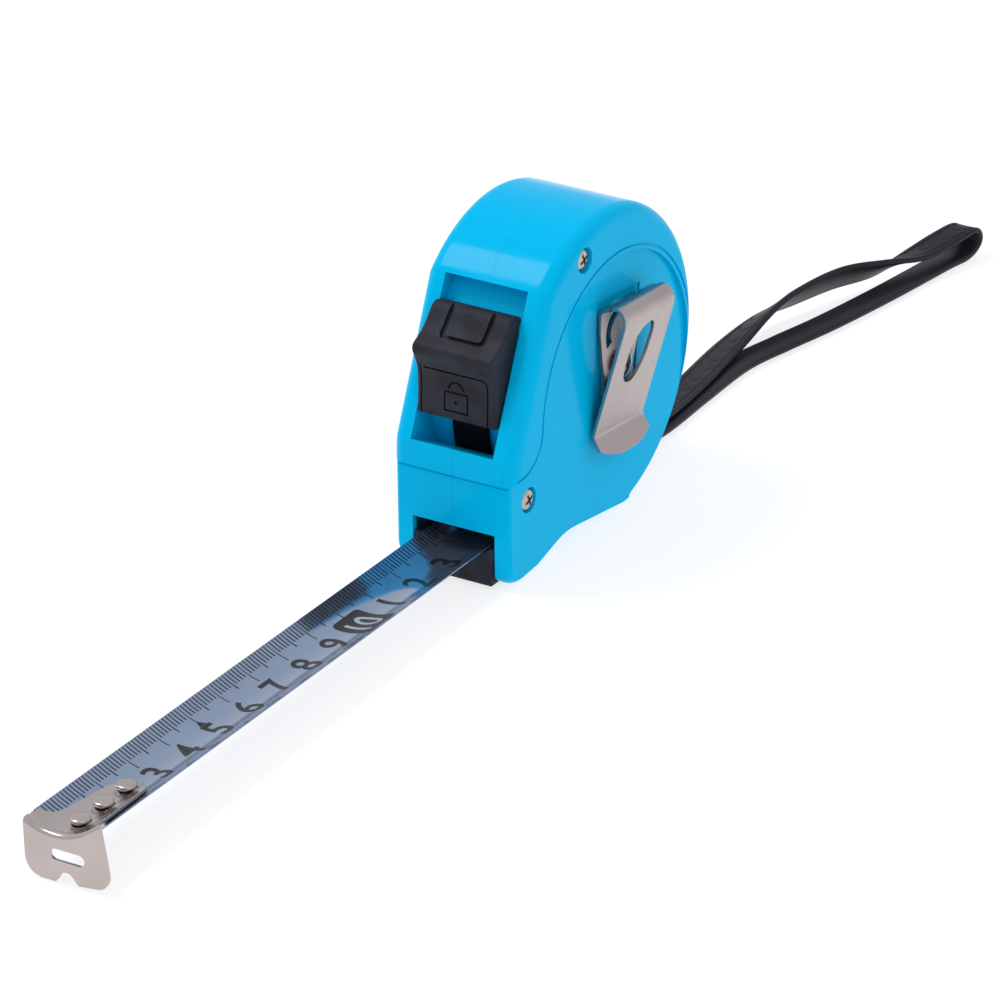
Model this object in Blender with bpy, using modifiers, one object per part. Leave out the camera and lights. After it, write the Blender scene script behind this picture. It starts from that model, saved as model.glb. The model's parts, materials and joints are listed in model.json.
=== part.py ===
"""Pocket tape measure: sprung drum with a steel blade in a two-shell case, thumb lock,
riveted end hook, belt clip and wrist strap.

The design frame has its origin at the centre of the case's round back: X across the case
with the belt clip at +X, -Y the way the blade comes out, +Z up.  Sizes below are in
millimetres in that frame.  The whole tape is then tilted until the hook and the case's rear
corner stand on the ground.
"""

import math

import bmesh
import bpy
from mathutils import Matrix, Vector

MM = 0.001
GAP = 0.3                      # between neighbouring solids

# Case
CASE_R = 33.5                  # round back of the case, about the origin
RIM_HALF = 14.0                # half width over the raised rim
BODY_HALF = 13.4               # half width over the recessed sides
WALL = 1.8
EDGE_R = 3.0                   # rounding of the case's edges
EDGE_STEPS = 3
NOSE_Y = -36.6                 # front of the nose above the step
STEP_IN = 0.4                  # how far the nose stands back below the step
STEP_Z = -11.3
BASE_Z = -33.2                 # underside at the foot and at the rear corner
REAR_CORNER_Y = 8.0
DISC = (3.3, -4.7, 27.6)       # y, z, radius of the recessed side disc

# Window and thumb lock
WINDOW_LOW = (-35.9, -6.0)
WINDOW_HIGH = (-22.9, 24.6)
WINDOW_HALF = 9.4
FLOOR_R = 32.6                 # window floor, a cylinder about the drum's axis
FLOOR_WALL = 1.3
BUTTON_TOP_DEG = 145.5      # where the button's back ends, about the drum's axis
BUTTON_HALF = 9.1
SLIDER_R = (32.9, 34.1)
SLIDER_HALF = 3.9
SLIDER_TOP_DEG = 147.0         # slider's ends at rest, from +Y towards +Z
SLIDER_TOE_DEG = 215.8
SHOE_DEG = 2.6

# Blade
BLADE_EDGE_Z = -25.6
BLADE_CHORD = 14.9
BLADE_SAG = 2.3
BLADE_T = 0.2
HOOK_Y = -172.0                # inner face of the hook, the scale's zero
BLADE_END_Y = -33.0            # where the straight blade meets the inner run
MOUTH_TOP_Z = -22.4

# Hook
HOOK_T = 0.9
HOOK_X = 3.0                   # the hook sits this far off the blade's middle
HOOK_HALF = 9.5
HOOK_BOTTOM_Z = -35.8
TONGUE_T = 0.6
TONGUE_END_Y = HOOK_Y + 24.0
RIVET_X = 1.5
RIVET_Y = tuple(HOOK_Y + step for step in (5.8, 13.2, 20.6))
RIVET_HEAD_R = 2.05
RIVET_NECK_R = 1.35
RIVET_TAIL_R = 1.9
GROOVE_END_Y = -14.0

# Drum
DRUM_Y = 4.0                   # the drum's axis, at the origin's height
DRUM_R = 18.4
DRUM_WALL = 1.2
COIL_R = 22.8
FLANGE_R = 23.7
COIL_HALF = 8.2
FLANGE_T = 0.8
POST_R = 4.0
POST_HALF = 11.0

# Screws: y, z of each axis
SCREW_UPPER = (-9.0, 26.9)
SCREW_LOWER = (-29.2, -16.6)
SCREW_HEAD_R = 2.3
SCREW_SHANK_R = 1.1
BOSS_R = 2.2

# Belt clip
CLIP_HALF = 9.4
CLIP_Y = 3.9
CLIP_TURN_DEG = -5.0
CLIP_T = 0.8
CLIP_POCKET_X = 12.8
WAIST = (1.5, 3.9)             # how far the back plate draws in beside the post and below it
FOOT_CORNER_Z = -15.8
FOOT_R = 24.0
CLIP_HINGE = (16.8, 14.2)       # x, z of the line about which the springy leaf opens

# Wrist strap
STRAP_W = 6.2
STRAP_T = 1.3
STRAP_OUT_DEG = -44.0          # the way out of the case, in the side view
STRAP_PIN = (21.4, -20.7)
STRAP_PIN_R = 1.0
STRAP_SLOT_HALF = 3.0

TILT = math.atan2(BASE_Z - HOOK_BOTTOM_Z, REAR_CORNER_Y - (HOOK_Y - HOOK_T))
BODY_CENTRE_X = 3.30           # middle of the width over the clip


def clear_scene():
    for obj in list(bpy.data.objects):
        bpy.data.objects.remove(obj, do_unlink=True)


clear_scene()
PARTS = bpy.data.collections.new("tape_measure")
CUTTERS = bpy.data.collections.new("cutters")
bpy.context.scene.collection.children.link(PARTS)
bpy.context.scene.collection.children.link(CUTTERS)


def material(name, colour, roughness, metallic=0.0):
    made = bpy.data.materials.new(name)
    made.use_nodes = True
    shader = made.node_tree.nodes["Principled BSDF"]
    shader.inputs["Base Color"].default_value = (*colour, 1.0)
    shader.inputs["Roughness"].default_value = roughness
    shader.inputs["Metallic"].default_value = metallic
    return made


def add_mesh(name, mesh, collection=CUTTERS):
    obj = bpy.data.objects.new(name, mesh)
    collection.objects.link(obj)
    return obj


def from_bmesh(name, bm):
    mesh = bpy.data.meshes.new(name)
    bm.to_mesh(mesh)
    bm.free()
    return add_mesh(name, mesh)


def baked(obj, face_out=True):
    """Replace an object by the mesh that its modifiers make, welded.

    Its faces are turned out, except after a cut, which may leave a wall facing a hollow.
    """
    depsgraph = bpy.context.evaluated_depsgraph_get()
    depsgraph.update()
    mesh = bpy.data.meshes.new_from_object(obj.evaluated_get(depsgraph))
    mesh.transform(obj.matrix_world)
    bm = bmesh.new()
    bm.from_mesh(mesh)
    bmesh.ops.remove_doubles(bm, verts=bm.verts, dist=0.002 * MM)
    bmesh.ops.dissolve_degenerate(bm, edges=bm.edges, dist=0.001 * MM)
    if face_out:
        bmesh.ops.recalc_face_normals(bm, faces=bm.faces)
    bm.to_mesh(mesh)
    bm.free()
    name = obj.name
    bpy.data.objects.remove(obj, do_unlink=True)
    return add_mesh(name, mesh)


def arc(centre, radius, start_deg, end_deg, steps):
    """Points on a circle in a drawing plane, angles counted from the first axis."""
    points = []
    for i in range(steps + 1):
        a = math.radians(start_deg + (end_deg - start_deg) * i / steps)
        points.append((centre[0] + radius * math.cos(a), centre[1] + radius * math.sin(a)))
    return points


def slab(name, outline, low, high, normal="X"):
    """A flat outline given thickness from low to high along an axis.

    The outline's two numbers are (y, z) for normal X, (x, z) for Y and (x, y) for Z.
    """
    curve = bpy.data.curves.new(name, "CURVE")
    curve.dimensions = "2D"
    curve.fill_mode = "BOTH"
    curve.extrude = (high - low) / 2 * MM
    spline = curve.splines.new("POLY")
    spline.points.add(len(outline) - 1)
    for point, (u, v) in zip(spline.points, outline):
        point.co = (u * MM, v * MM, 0.0, 1.0)
    spline.use_cyclic_u = True
    obj = add_mesh(name, curve)
    middle = (low + high) / 2 * MM
    turns = {
        "X": Matrix(((0, 0, 1, middle), (1, 0, 0, 0), (0, 1, 0, 0), (0, 0, 0, 1))),
        "Y": Matrix(((1, 0, 0, 0), (0, 0, 1, middle), (0, 1, 0, 0), (0, 0, 0, 1))),
        "Z": Matrix.Translation((0, 0, middle)),
    }
    obj.matrix_world = turns[normal]
    bpy.context.view_layer.update()
    return baked(obj)


def block(name, low, high):
    """A box between two corners."""
    bm = bmesh.new()
    bmesh.ops.create_cube(bm, size=1.0)
    size = [(b - a) * MM for a, b in zip(low, high)]
    middle = [(a + b) / 2 * MM for a, b in zip(low, high)]
    bmesh.ops.scale(bm, vec=size, verts=bm.verts)
    bmesh.ops.translate(bm, vec=middle, verts=bm.verts)
    return from_bmesh(name, bm)


def rod(name, y, z, radius, low, high, sides=24):
    """A cylinder along X."""
    bm = bmesh.new()
    bmesh.ops.create_cone(
        bm, cap_ends=True, segments=sides, radius1=radius * MM, radius2=radius * MM,
        depth=(high - low) * MM,
    )
    bmesh.ops.rotate(bm, cent=(0, 0, 0), matrix=Matrix.Rotation(math.pi / 2, 3, "Y"), verts=bm.verts)
    bmesh.ops.translate(bm, vec=((low + high) / 2 * MM, y * MM, z * MM), verts=bm.verts)
    return from_bmesh(name, bm)


def turned(name, profile, centre, axis="X", steps=40):
    """A profile of (radius, along) turned about an axis through centre."""
    mesh = bpy.data.meshes.new(name)
    points = [(r * MM, 0.0, h * MM) for r, h in profile]
    count = len(points)
    edges = [(i, i + 1) for i in range(count - 1)]
    if profile[0][0] > 0.0:
        edges.append((count - 1, 0))
    mesh.from_pydata(points, edges, [])
    obj = add_mesh(name, mesh)
    screw = obj.modifiers.new("turn", "SCREW")
    screw.steps = steps
    screw.render_steps = steps
    screw.use_merge_vertices = True
    screw.merge_threshold = 0.00001
    if axis == "X":
        obj.rotation_euler = (0.0, math.pi / 2, 0.0)
    obj.location = [value * MM for value in centre]
    bpy.context.view_layer.update()
    return baked(obj)


def boolean(obj, tool, operation):
    step = obj.modifiers.new(operation.lower(), "BOOLEAN")
    step.operation = operation
    step.object = tool
    made = baked(obj, face_out=False)
    bpy.data.objects.remove(tool, do_unlink=True)
    return made


def cut(obj, *tools):
    for tool in tools:
        obj = boolean(obj, tool, "DIFFERENCE")
    return obj


def join(obj, *tools):
    for tool in tools:
        obj = boolean(obj, tool, "UNION")
    return obj


def keep(obj, tool):
    return boolean(obj, tool, "INTERSECT")


def copy_of(obj, name):
    return add_mesh(name, obj.data.copy())


def rounded(obj, width, segments=2, angle_deg=40.0):
    bevel = obj.modifiers.new("round", "BEVEL")
    bevel.width = width * MM
    bevel.segments = segments
    bevel.limit_method = "ANGLE"
    bevel.angle_limit = math.radians(angle_deg)
    return baked(obj)


def turn_about_x(obj, degrees, y=0.0, z=0.0):
    about = Matrix.Translation((0, y * MM, z * MM))
    obj.data.transform(about @ Matrix.Rotation(math.radians(degrees), 4, "X") @ about.inverted())
    return obj


# ---------------------------------------------------------------- case

def case_outline(inset=0.0):
    """Side view of the case as (y, z), drawn inside the outer line by inset."""
    radius = CASE_R - inset
    front = NOSE_Y + inset
    base = BASE_Z + inset
    corner_y = REAR_CORNER_Y - 0.3 * inset
    slope = math.atan2(WINDOW_HIGH[1] - WINDOW_LOW[1], WINDOW_HIGH[0] - WINDOW_LOW[0])
    normal = (-math.sin(slope), math.cos(slope))
    low = (WINDOW_LOW[0] - normal[0] * inset, WINDOW_LOW[1] - normal[1] * inset - 0.5 * inset)
    rear_deg = math.degrees(math.asin((base + 1.2) / radius))
    line = [(front + 4.0, base), (front + 1.6, base + 0.4), (front + 0.4, base + 1.6)]
    line += [(front, base + 3.4)]
    line += [(front, STEP_Z), (front, low[1] - 2.0), (front + 0.25, low[1] + 0.6)]
    high_deg = math.degrees(math.atan2(WINDOW_HIGH[1], WINDOW_HIGH[0]))
    line += arc((0, 0), radius, high_deg, rear_deg, 40)
    line += [(corner_y, base)]
    line += [(-13.0, base + 2.9), (-16.0, base + 2.8), (-20.0, base + 2.1), (-26.0, base + 0.5)]
    return line


def window_cutter(grow=0.0):
    """The window's hollow, or the tray around it when grown."""
    slope = math.atan2(WINDOW_HIGH[1] - WINDOW_LOW[1], WINDOW_HIGH[0] - WINDOW_LOW[0])
    along = Vector((math.cos(slope), math.sin(slope)))
    out = Vector((-math.sin(slope), math.cos(slope)))
    low = Vector(WINDOW_LOW) - along * grow
    high = Vector(WINDOW_HIGH) + along * grow
    floor = FLOOR_R - grow
    axis = Vector((DRUM_Y, 0.0))

    def floor_angle(point):
        """Angle about the drum at which the wall through point meets the floor."""
        side = (point - axis).dot(along)
        foot = side * along + math.sqrt(floor ** 2 - side ** 2) * out
        return math.degrees(math.atan2(foot.y, foot.x)) % 360

    line = arc(axis, floor, floor_angle(low), floor_angle(high), 10)
    line += [tuple(high + out * 9.0), tuple(low + out * 9.0)]
    half = WINDOW_HALF + grow
    return slab("window", line, -half, half)


def boss(name, y, z, radius):
    return rod(name, y, z, radius, -BODY_HALF + 1.0, BODY_HALF - 1.0, 20)


def case_body():
    """The case's solid outer form: its outline across the width, drawn in round both edges."""
    profile = []
    for i in range(EDGE_STEPS + 1):
        a = math.pi / 2 * i / EDGE_STEPS
        profile.append((RIM_HALF - EDGE_R * (1 - math.cos(a)), EDGE_R * (1 - math.sin(a))))
    stations = [(-x, inset) for x, inset in profile] + list(reversed(profile))
    bm = bmesh.new()
    rings = []
    for x, inset in stations:
        ring = [bm.verts.new((x * MM, y * MM, z * MM)) for y, z in case_outline(inset)]
        rings.append(ring)
    count = len(rings[0])
    for one, two in zip(rings, rings[1:]):
        for k in range(count):
            n = (k + 1) % count
            bm.faces.new((one[k], one[n], two[n], two[k]))
    bm.faces.new(rings[0])
    bm.faces.new(list(reversed(rings[-1])))
    bmesh.ops.recalc_face_normals(bm, faces=bm.faces)
    return from_bmesh("shell", bm)


def build_case():
    shell = case_body()
    for side in (-1, 1):
        near, far = sorted((side * BODY_HALF, side * (RIM_HALF + 1)))
        disc = rod("disc", DISC[0], DISC[1], DISC[2], near, far, 64)
        nose = block("nose", (near, NOSE_Y - 3, BASE_Z - 3), (far, DISC[0], STEP_Z))
        shell = cut(shell, join(disc, nose))
    shell = cut(shell, block("step", (-20, NOSE_Y - 2, BASE_Z - 2), (20, NOSE_Y + STEP_IN, STEP_Z)))

    cavity = slab("cavity", case_outline(WALL), -RIM_HALF + 2.4, RIM_HALF - 2.4)
    cavity = cut(cavity, window_cutter(FLOOR_WALL))
    for y, z in (SCREW_UPPER, SCREW_LOWER):
        cavity = cut(cavity, boss("boss", y, z, BOSS_R))
    cavity = cut(cavity, rod("socket", DRUM_Y, 0, POST_R + 2.0, 9.9, 14, 32))
    cavity = cut(cavity, rod("socket", DRUM_Y, 0, POST_R + 2.0, -14, -9.9, 32))
    for side in (-1, 1):
        near, far = sorted((side * (STRAP_W / 2 + 1.6), side * 14))
        cavity = cut(cavity, rod("pin_boss", *STRAP_PIN, STRAP_PIN_R + 1.3, near, far, 20))
    shell = cut(shell, cavity)
    shell = cut(shell, window_cutter())
    # slot for the lock's slider through the window's lower wall
    slot = arc((DRUM_Y, 0), SLIDER_R[0] - GAP - 0.1, 168, 200, 8)
    slot += arc((DRUM_Y, 0), SLIDER_R[1] + GAP, 200, 168, 8)
    shell = cut(shell, slab("slot", slot, -SLIDER_HALF - GAP, SLIDER_HALF + GAP))
    # mouth, open at the front and below, where the guard fills it
    mouth = block(
        "mouth", (-WINDOW_HALF, NOSE_Y - 3, BASE_Z - 2),
        (WINDOW_HALF, NOSE_Y + 8.5, MOUTH_TOP_Z),
    )
    shell = cut(shell, mouth)
    # a groove in the floor for the rivets' tails
    shell = cut(shell, block(
        "groove", (RIVET_X - RIVET_TAIL_R - GAP, NOSE_Y + 8, BLADE_EDGE_Z - BLADE_SAG - 1.6),
        (RIVET_X + RIVET_TAIL_R + GAP, GROOVE_END_Y, BLADE_EDGE_Z),
    ))
    # seats for the post, the screws and the clip's plate
    shell = cut(shell, rod("seat", DRUM_Y, 0, POST_R + GAP, -POST_HALF - GAP, POST_HALF + GAP, 32))
    shell = cut(shell, rod("bore", DRUM_Y, 0, 1.9, 0, 20, 20))
    for y, z, face in ((*SCREW_UPPER, RIM_HALF), (*SCREW_LOWER, BODY_HALF)):
        shell = cut(shell, rod("shank", y, z, SCREW_SHANK_R + GAP, -9.5, 20, 16))
        shell = cut(shell, rod("head", y, z, SCREW_HEAD_R + GAP, face - 1.5, 20, 24))
    pocket = block(
        "pocket", (CLIP_POCKET_X, CLIP_Y - CLIP_HALF + WAIST[0] - GAP, -10.4),
        (20, CLIP_Y + CLIP_HALF - WAIST[0] + GAP, 14.4),
    )
    shell = cut(shell, turn_about_x(pocket, CLIP_TURN_DEG, DRUM_Y))
    # strap slot through the rear wall and holes that hold the strap's pin
    shell = cut(shell, rod("pin_hole", *STRAP_PIN, STRAP_PIN_R + GAP, -8.3, 8.3, 16))
    slot = block(
        "strap_slot", (-STRAP_W / 2 - 0.9, 30.6, -STRAP_SLOT_HALF),
        (STRAP_W / 2 + 0.9, 40.0, STRAP_SLOT_HALF),
    )
    shell = cut(shell, turn_about_x(slot, STRAP_OUT_DEG))

    left = keep(copy_of(shell, "case_left"), block("half", (-30, -60, -60), (-GAP / 2, 60, 60)))
    right = keep(copy_of(shell, "case_right"), block("half", (GAP / 2, -60, -60), (30, 60, 60)))
    bpy.data.objects.remove(shell, do_unlink=True)
    left.name = "case_left"
    right.name = "case_right"
    return left, right


def build_mouth_guard():
    """Lip under the blade: it closes the nose below the mouth and stands proud as a foot."""
    line = [
        (NOSE_Y - 0.4, BASE_Z), (NOSE_Y - 0.4, BASE_Z + 0.8), (NOSE_Y + 0.5, BLADE_EDGE_Z),
        (NOSE_Y + 8.2, BLADE_EDGE_Z), (NOSE_Y + 8.2, BASE_Z + 0.3), (NOSE_Y + 7.0, BASE_Z),
    ]
    half = WINDOW_HALF - GAP
    guard = slab("mouth_guard", line, -half, half)
    guard = rounded(guard, 0.5, 1, 30.0)
    radius, axis_z = blade_circle()
    trough = slab(
        "trough", arc((0, axis_z), radius + GAP + 0.15, 0, 360 - 10, 35), -60, 0, "Y",
    )
    # a channel lets the rivets' tails in with the blade
    tails = block(
        "tails", (RIVET_X - RIVET_TAIL_R - GAP, NOSE_Y - 3, BLADE_EDGE_Z - BLADE_SAG - 1.6),
        (RIVET_X + RIVET_TAIL_R + GAP, NOSE_Y + 12, BLADE_EDGE_Z + 1),
    )
    return cut(guard, trough, tails)


def build_lock():
    """Thumb button, the curved slider that it pushes and the shoe on the slider's end."""
    axis = (DRUM_Y, 0)
    button_line = arc(axis, SLIDER_R[1] + GAP, BUTTON_TOP_DEG, 178.6, 8)
    button_line += [
        (-33.9, -0.7), (-34.35, -0.1), (-34.4, 1.2), (-34.25, 3.4), (-34.15, 5.8),
        (-34.3, 8.1), (-34.8, 10.1), (-35.5, 11.6), (-36.1, 12.8), (-36.25, 13.7),
        (-36.0, 14.5), (-35.2, 15.05), (-33.2, 15.9), (-31.9, 16.8), (-30.8, 17.8),
        (-29.4, 19.4), (-28.6, 20.2), (-27.8, 20.6), (-27.0, 20.65), (-25.4, 20.2),
    ]
    button = slab("lock_button", button_line, -BUTTON_HALF, BUTTON_HALF)
    button = rounded(button, 0.6, 2, 60.0)

    slider_line = arc(axis, SLIDER_R[0], SLIDER_TOP_DEG, SLIDER_TOE_DEG, 20)
    slider_line += arc(axis, SLIDER_R[1], SLIDER_TOE_DEG, SLIDER_TOP_DEG, 20)
    slider = slab("lock_slider", slider_line, -SLIDER_HALF, SLIDER_HALF)

    start = SLIDER_TOE_DEG + math.degrees(GAP / SLIDER_R[0])
    end = start + SHOE_DEG
    shoe_line = arc(axis, SLIDER_R[0] - 0.3, start, end, 3)
    shoe_line += arc(axis, SLIDER_R[1] + 0.1, end, start, 3)
    shoe = slab("brake_pad", shoe_line, -SLIDER_HALF, SLIDER_HALF)
    return button, slider, shoe


# ---------------------------------------------------------------- blade

def blade_circle():
    """Radius and axis height of the arc that the blade's cupped section follows."""
    half = BLADE_CHORD / 2
    radius = (half ** 2 + BLADE_SAG ** 2) / (2 * BLADE_SAG)
    return radius, BLADE_EDGE_Z + radius - BLADE_SAG


def sheet(name, rows, thickness, offset=-1.0):
    """A surface through rows of points, given thickness."""
    count = len(rows[0])
    points = [tuple(value * MM for value in point) for row in rows for point in row]
    faces = []
    for i in range(len(rows) - 1):
        for j in range(count - 1):
            a = i * count + j
            faces.append((a, a + 1, a + count + 1, a + count))
    mesh = bpy.data.meshes.new(name)
    mesh.from_pydata(points, [], faces)
    obj = add_mesh(name, mesh)
    solid = obj.modifiers.new("thickness", "SOLIDIFY")
    solid.thickness = thickness * MM
    solid.offset = offset
    solid.use_even_offset = True
    return baked(obj)


def cupped(y, sag, z_edge=BLADE_EDGE_Z, lift=0.0, columns=12):
    """A row of points across the blade at y, of the given depth."""
    half = BLADE_CHORD / 2
    row = []
    for j in range(columns + 1):
        x = half * (2 * j / columns - 1)
        row.append((x, y, z_edge - sag * (1 - (x / half) ** 2) + lift))
    return row


def build_blade():
    rows = [cupped(HOOK_Y + 0.4, BLADE_SAG), cupped(BLADE_END_Y, BLADE_SAG)]
    straight = sheet("blade_extended", rows, BLADE_T, 0.0)
    for y in RIVET_Y:
        hole = turned(
            "hole", [(0.0, -4), (RIVET_NECK_R + GAP, -4), (RIVET_NECK_R + GAP, 4), (0.0, 4)],
            (RIVET_X, y, BLADE_EDGE_Z), "Z", 16,
        )
        straight = cut(straight, hole)

    rows = []
    steps = 10
    y_start = BLADE_END_Y + GAP
    z_end = -COIL_R - GAP - BLADE_T
    for i in range(steps + 1):
        t = i / steps
        ease = t * t * (3 - 2 * t)
        y = y_start + (DRUM_Y - y_start) * t
        bottom = (BLADE_EDGE_Z - BLADE_SAG) * (1 - ease) + z_end * ease
        sag = BLADE_SAG * (1 - ease)
        rows.append(cupped(y, sag, bottom + sag))
    feed = sheet("blade_feed", rows, BLADE_T, 0.0)

    coil = turned(
        "blade_coil",
        [(DRUM_R + GAP, -COIL_HALF), (COIL_R, -COIL_HALF), (COIL_R, COIL_HALF),
         (DRUM_R + GAP, COIL_HALF)],
        (0, DRUM_Y, 0), "X", 48,
    )
    return straight, feed, coil


def build_rivets():
    radius, axis_z = blade_circle()
    bottom = axis_z - math.sqrt(radius ** 2 - RIVET_X ** 2)
    top = bottom + BLADE_T / 2 + GAP + TONGUE_T + GAP
    made = []
    for number, y in enumerate(RIVET_Y, 1):
        profile = [
            (0.0, bottom - 1.1), (1.7, bottom - 1.1), (RIVET_TAIL_R, bottom - 0.55),
            (RIVET_NECK_R, bottom - 0.5), (RIVET_NECK_R, top + 0.45), (RIVET_HEAD_R, top + 0.55),
            (RIVET_HEAD_R, top + 0.85), (RIVET_HEAD_R - 0.35, top + 1.2), (0.0, top + 1.25),
        ]
        made.append(turned(f"hook_rivet_{number}", profile, (RIVET_X, y, 0), "Z", 20))
    return made


def build_hook():
    """A strip bent over the blade's end: a tongue in the trough and a plate hanging down."""
    radius, axis_z = blade_circle()
    under = radius - BLADE_T / 2 - GAP
    bend_r = 1.3
    columns = 16
    left_x = HOOK_X - HOOK_HALF
    right_x = HOOK_X + HOOK_HALF
    front = HOOK_Y - HOOK_T
    rows = []

    def height(x):
        reach = min(abs(x), under * math.sin(math.radians(36.0)))
        edge = math.sqrt(under ** 2 - reach ** 2)
        slope = reach / edge
        return axis_z - edge + (abs(x) - reach) * slope + TONGUE_T

    xs = [HOOK_X + HOOK_HALF * (2 * j / columns - 1) for j in range(columns + 1)]
    for y in (TONGUE_END_Y, HOOK_Y + 12.0, HOOK_Y + 1.5, front + bend_r):
        rows.append([(x, y, height(x)) for x in xs])
    for a in (22.5, 45.0, 67.5, 90.0):
        turn = math.radians(a)
        y = front + bend_r - bend_r * math.sin(turn)
        drop = bend_r * (1 - math.cos(turn))
        rows.append([(x, y, height(x) - drop) for x in xs])
    rows.append([(x, front, HOOK_BOTTOM_Z) for x in xs])
    hook = sheet("end_hook", rows, TONGUE_T, 1.0)

    # plan outline of the tongue: full width at the bend, then a narrow strap off centre
    left = [
        (-12, 3.9), (-6.9, 4.3), (-5.4, 5.0), (-4.4, 6.0), (-3.7, 7.6), (-3.4, 10.0), (-2.7, 17.5),
        (-2.2, 20.4), (-1.3, 22.7), (0.4, 24.1), (0.4, 27), (-12, 27),
    ]
    right = [
        (14, 0.8), (10.9, 0.8), (8.2, 1.6), (6.8, 3.0), (6.2, 5.4), (5.9, 12.0), (5.7, 18.0),
        (5.2, 21.0), (4.2, 23.0), (2.4, 24.1), (2.4, 27), (14, 27),
    ]
    for outline in (left, right):
        outline = [(x, HOOK_Y + step) for x, step in outline]
        hook = cut(hook, slab("trim", outline, -40, -15, "Z"))
    # plate: edges that lean out, rounded lower corners, notch and slot
    low = HOOK_BOTTOM_Z
    top = low + 16
    edge = [(left_x - 1, low - 1), (left_x - 1, top), (left_x, top), (left_x + 0.3, low + 3.6)]
    edge += [(left_x + 0.8, low + 1.9), (left_x + 2.0, low + 0.6), (left_x + 3.6, low)]
    edge += [(left_x + 3.6, low - 1)]
    back = front + HOOK_T + 0.8
    hook = cut(hook, slab("edge", edge, front - 1, back, "Y"))
    edge = [(right_x + 1, low - 1), (right_x + 1, top), (right_x - 2.2, top)]
    edge += [(right_x - 0.3, low + 4.4), (right_x - 0.6, low + 2.7), (right_x - 2.4, low + 0.9)]
    edge += [(2.5, low + 0.02), (2.5, low - 1)]
    hook = cut(hook, slab("edge", edge, front - 1, back, "Y"))
    notch = [(-0.2, low - 1), (0.7, low + 0.2), (1.5, low + 1.5), (2.2, low + 2.3), (3.0, low + 2.4)]
    notch += [(4.3, low + 1.8), (5.5, low + 0.3), (6.2, low - 1)]
    hook = cut(hook, slab("notch", notch, front - 1, front + HOOK_T, "Y"))
    slot_z = low + 5.6
    slot = arc((5.8, slot_z), 1.15, -90, 90, 8) + arc((0.6, slot_z), 1.15, 90, 270, 8)
    hook = cut(hook, slab("slot", slot, front - 1, front + HOOK_T, "Y"))
    # the rivets' holes are long, so that the hook can shift by its own thickness
    hole_r = RIVET_NECK_R + GAP
    for y in RIVET_Y:
        hole = arc((RIVET_X, y + HOOK_T), hole_r, 0, 180, 6) + arc((RIVET_X, y), hole_r, 180, 360, 6)
        hook = cut(hook, slab("hole", hole, -40, -15, "Z"))
    return hook


# ---------------------------------------------------------------- drum

def build_drum():
    inner = FLANGE_R
    drum = turned(
        "drum",
        [(POST_R + GAP, -COIL_HALF - GAP - FLANGE_T), (inner, -COIL_HALF - GAP - FLANGE_T),
         (inner, -COIL_HALF - GAP), (DRUM_R, -COIL_HALF - GAP), (DRUM_R, COIL_HALF),
         (DRUM_R - DRUM_WALL, COIL_HALF), (DRUM_R - DRUM_WALL, -COIL_HALF - GAP),
         (POST_R + GAP, -COIL_HALF - GAP)],
        (0, DRUM_Y, 0), "X", 48,
    )
    cover = turned(
        "drum_cover",
        [(POST_R + GAP, COIL_HALF + GAP), (inner, COIL_HALF + GAP),
         (inner, COIL_HALF + GAP + FLANGE_T), (POST_R + GAP, COIL_HALF + GAP + FLANGE_T)],
        (0, DRUM_Y, 0), "X", 48,
    )
    post = rod("spring_post", DRUM_Y, 0, POST_R, -POST_HALF, POST_HALF, 32)
    post = cut(post, rod("bore", DRUM_Y, 0, 1.4 + GAP, 3.0, 20, 16))
    post = cut(post, block("slot", (-6.5, DRUM_Y - 0.4, -0.1), (1.5, DRUM_Y + 0.4, 10)))

    turns = 6
    per_turn = 20
    spiral = []
    for i in range(turns * per_turn + 1):
        t = i / (turns * per_turn)
        a = 2 * math.pi * turns * t
        r = POST_R + 0.6 + (DRUM_R - DRUM_WALL - 0.7 - POST_R - 0.6) * t ** 0.6
        spiral.append((DRUM_Y + r * math.cos(a), r * math.sin(a)))
    rows = [[(x, y, z) for x in (-COIL_HALF + 0.6, COIL_HALF - 0.6)] for y, z in spiral]
    spring = sheet("mainspring", rows, 0.16, 0.0)
    return drum, cover, post, spring


# ---------------------------------------------------------------- fixings

def cross_screw(name, y, z, face, shank_end, head_r=SCREW_HEAD_R, shank_r=SCREW_SHANK_R):
    """A pan-head screw along X with a cross recess; face is the top of its head."""
    profile = [
        (0.0, shank_end), (shank_r, shank_end), (shank_r, face - 1.0), (head_r, face - 1.0),
        (head_r, face - 0.5), (head_r - 0.6, face), (0.0, face),
    ]
    screw = turned(name, profile, (0, y, z), "X", 20)
    for degrees in (20.0, 110.0):
        bar = block("bar", (face - 0.7, -0.32, -1.2), (face + 1, 0.32, 1.2))
        bar.data.transform(Matrix.Rotation(math.radians(degrees), 4, "X"))
        bar.data.transform(Matrix.Translation((0, y * MM, z * MM)))
        screw = cut(screw, bar)
    return screw


def clip_path():
    """Middle of the clip's strip in the (x, z) plane, from its lower end behind, up and over."""
    back_x = CLIP_POCKET_X + GAP + CLIP_T / 2
    path = [(back_x, -9.0), (back_x, 11.6), (back_x + 0.25, 12.6), (back_x + 1.1, 13.3)]
    path += [(back_x + 2.1, 13.75), (back_x + 3.1, 14.15), (back_x + 4.4, 14.65)]
    path += [(18.9, 14.4), (19.7, 13.7), (20.2, 12.5), (20.15, 11.4)]
    path += [(14.15, -12.9), (14.4, -13.6), (16.95, -17.7)]
    return path


def strip(name, path, half):
    rows = [[(x, CLIP_Y + side * half, z) for side in (-1, 1)] for x, z in path]
    made = sheet(name, rows, CLIP_T, 0.0)
    return made


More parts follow.
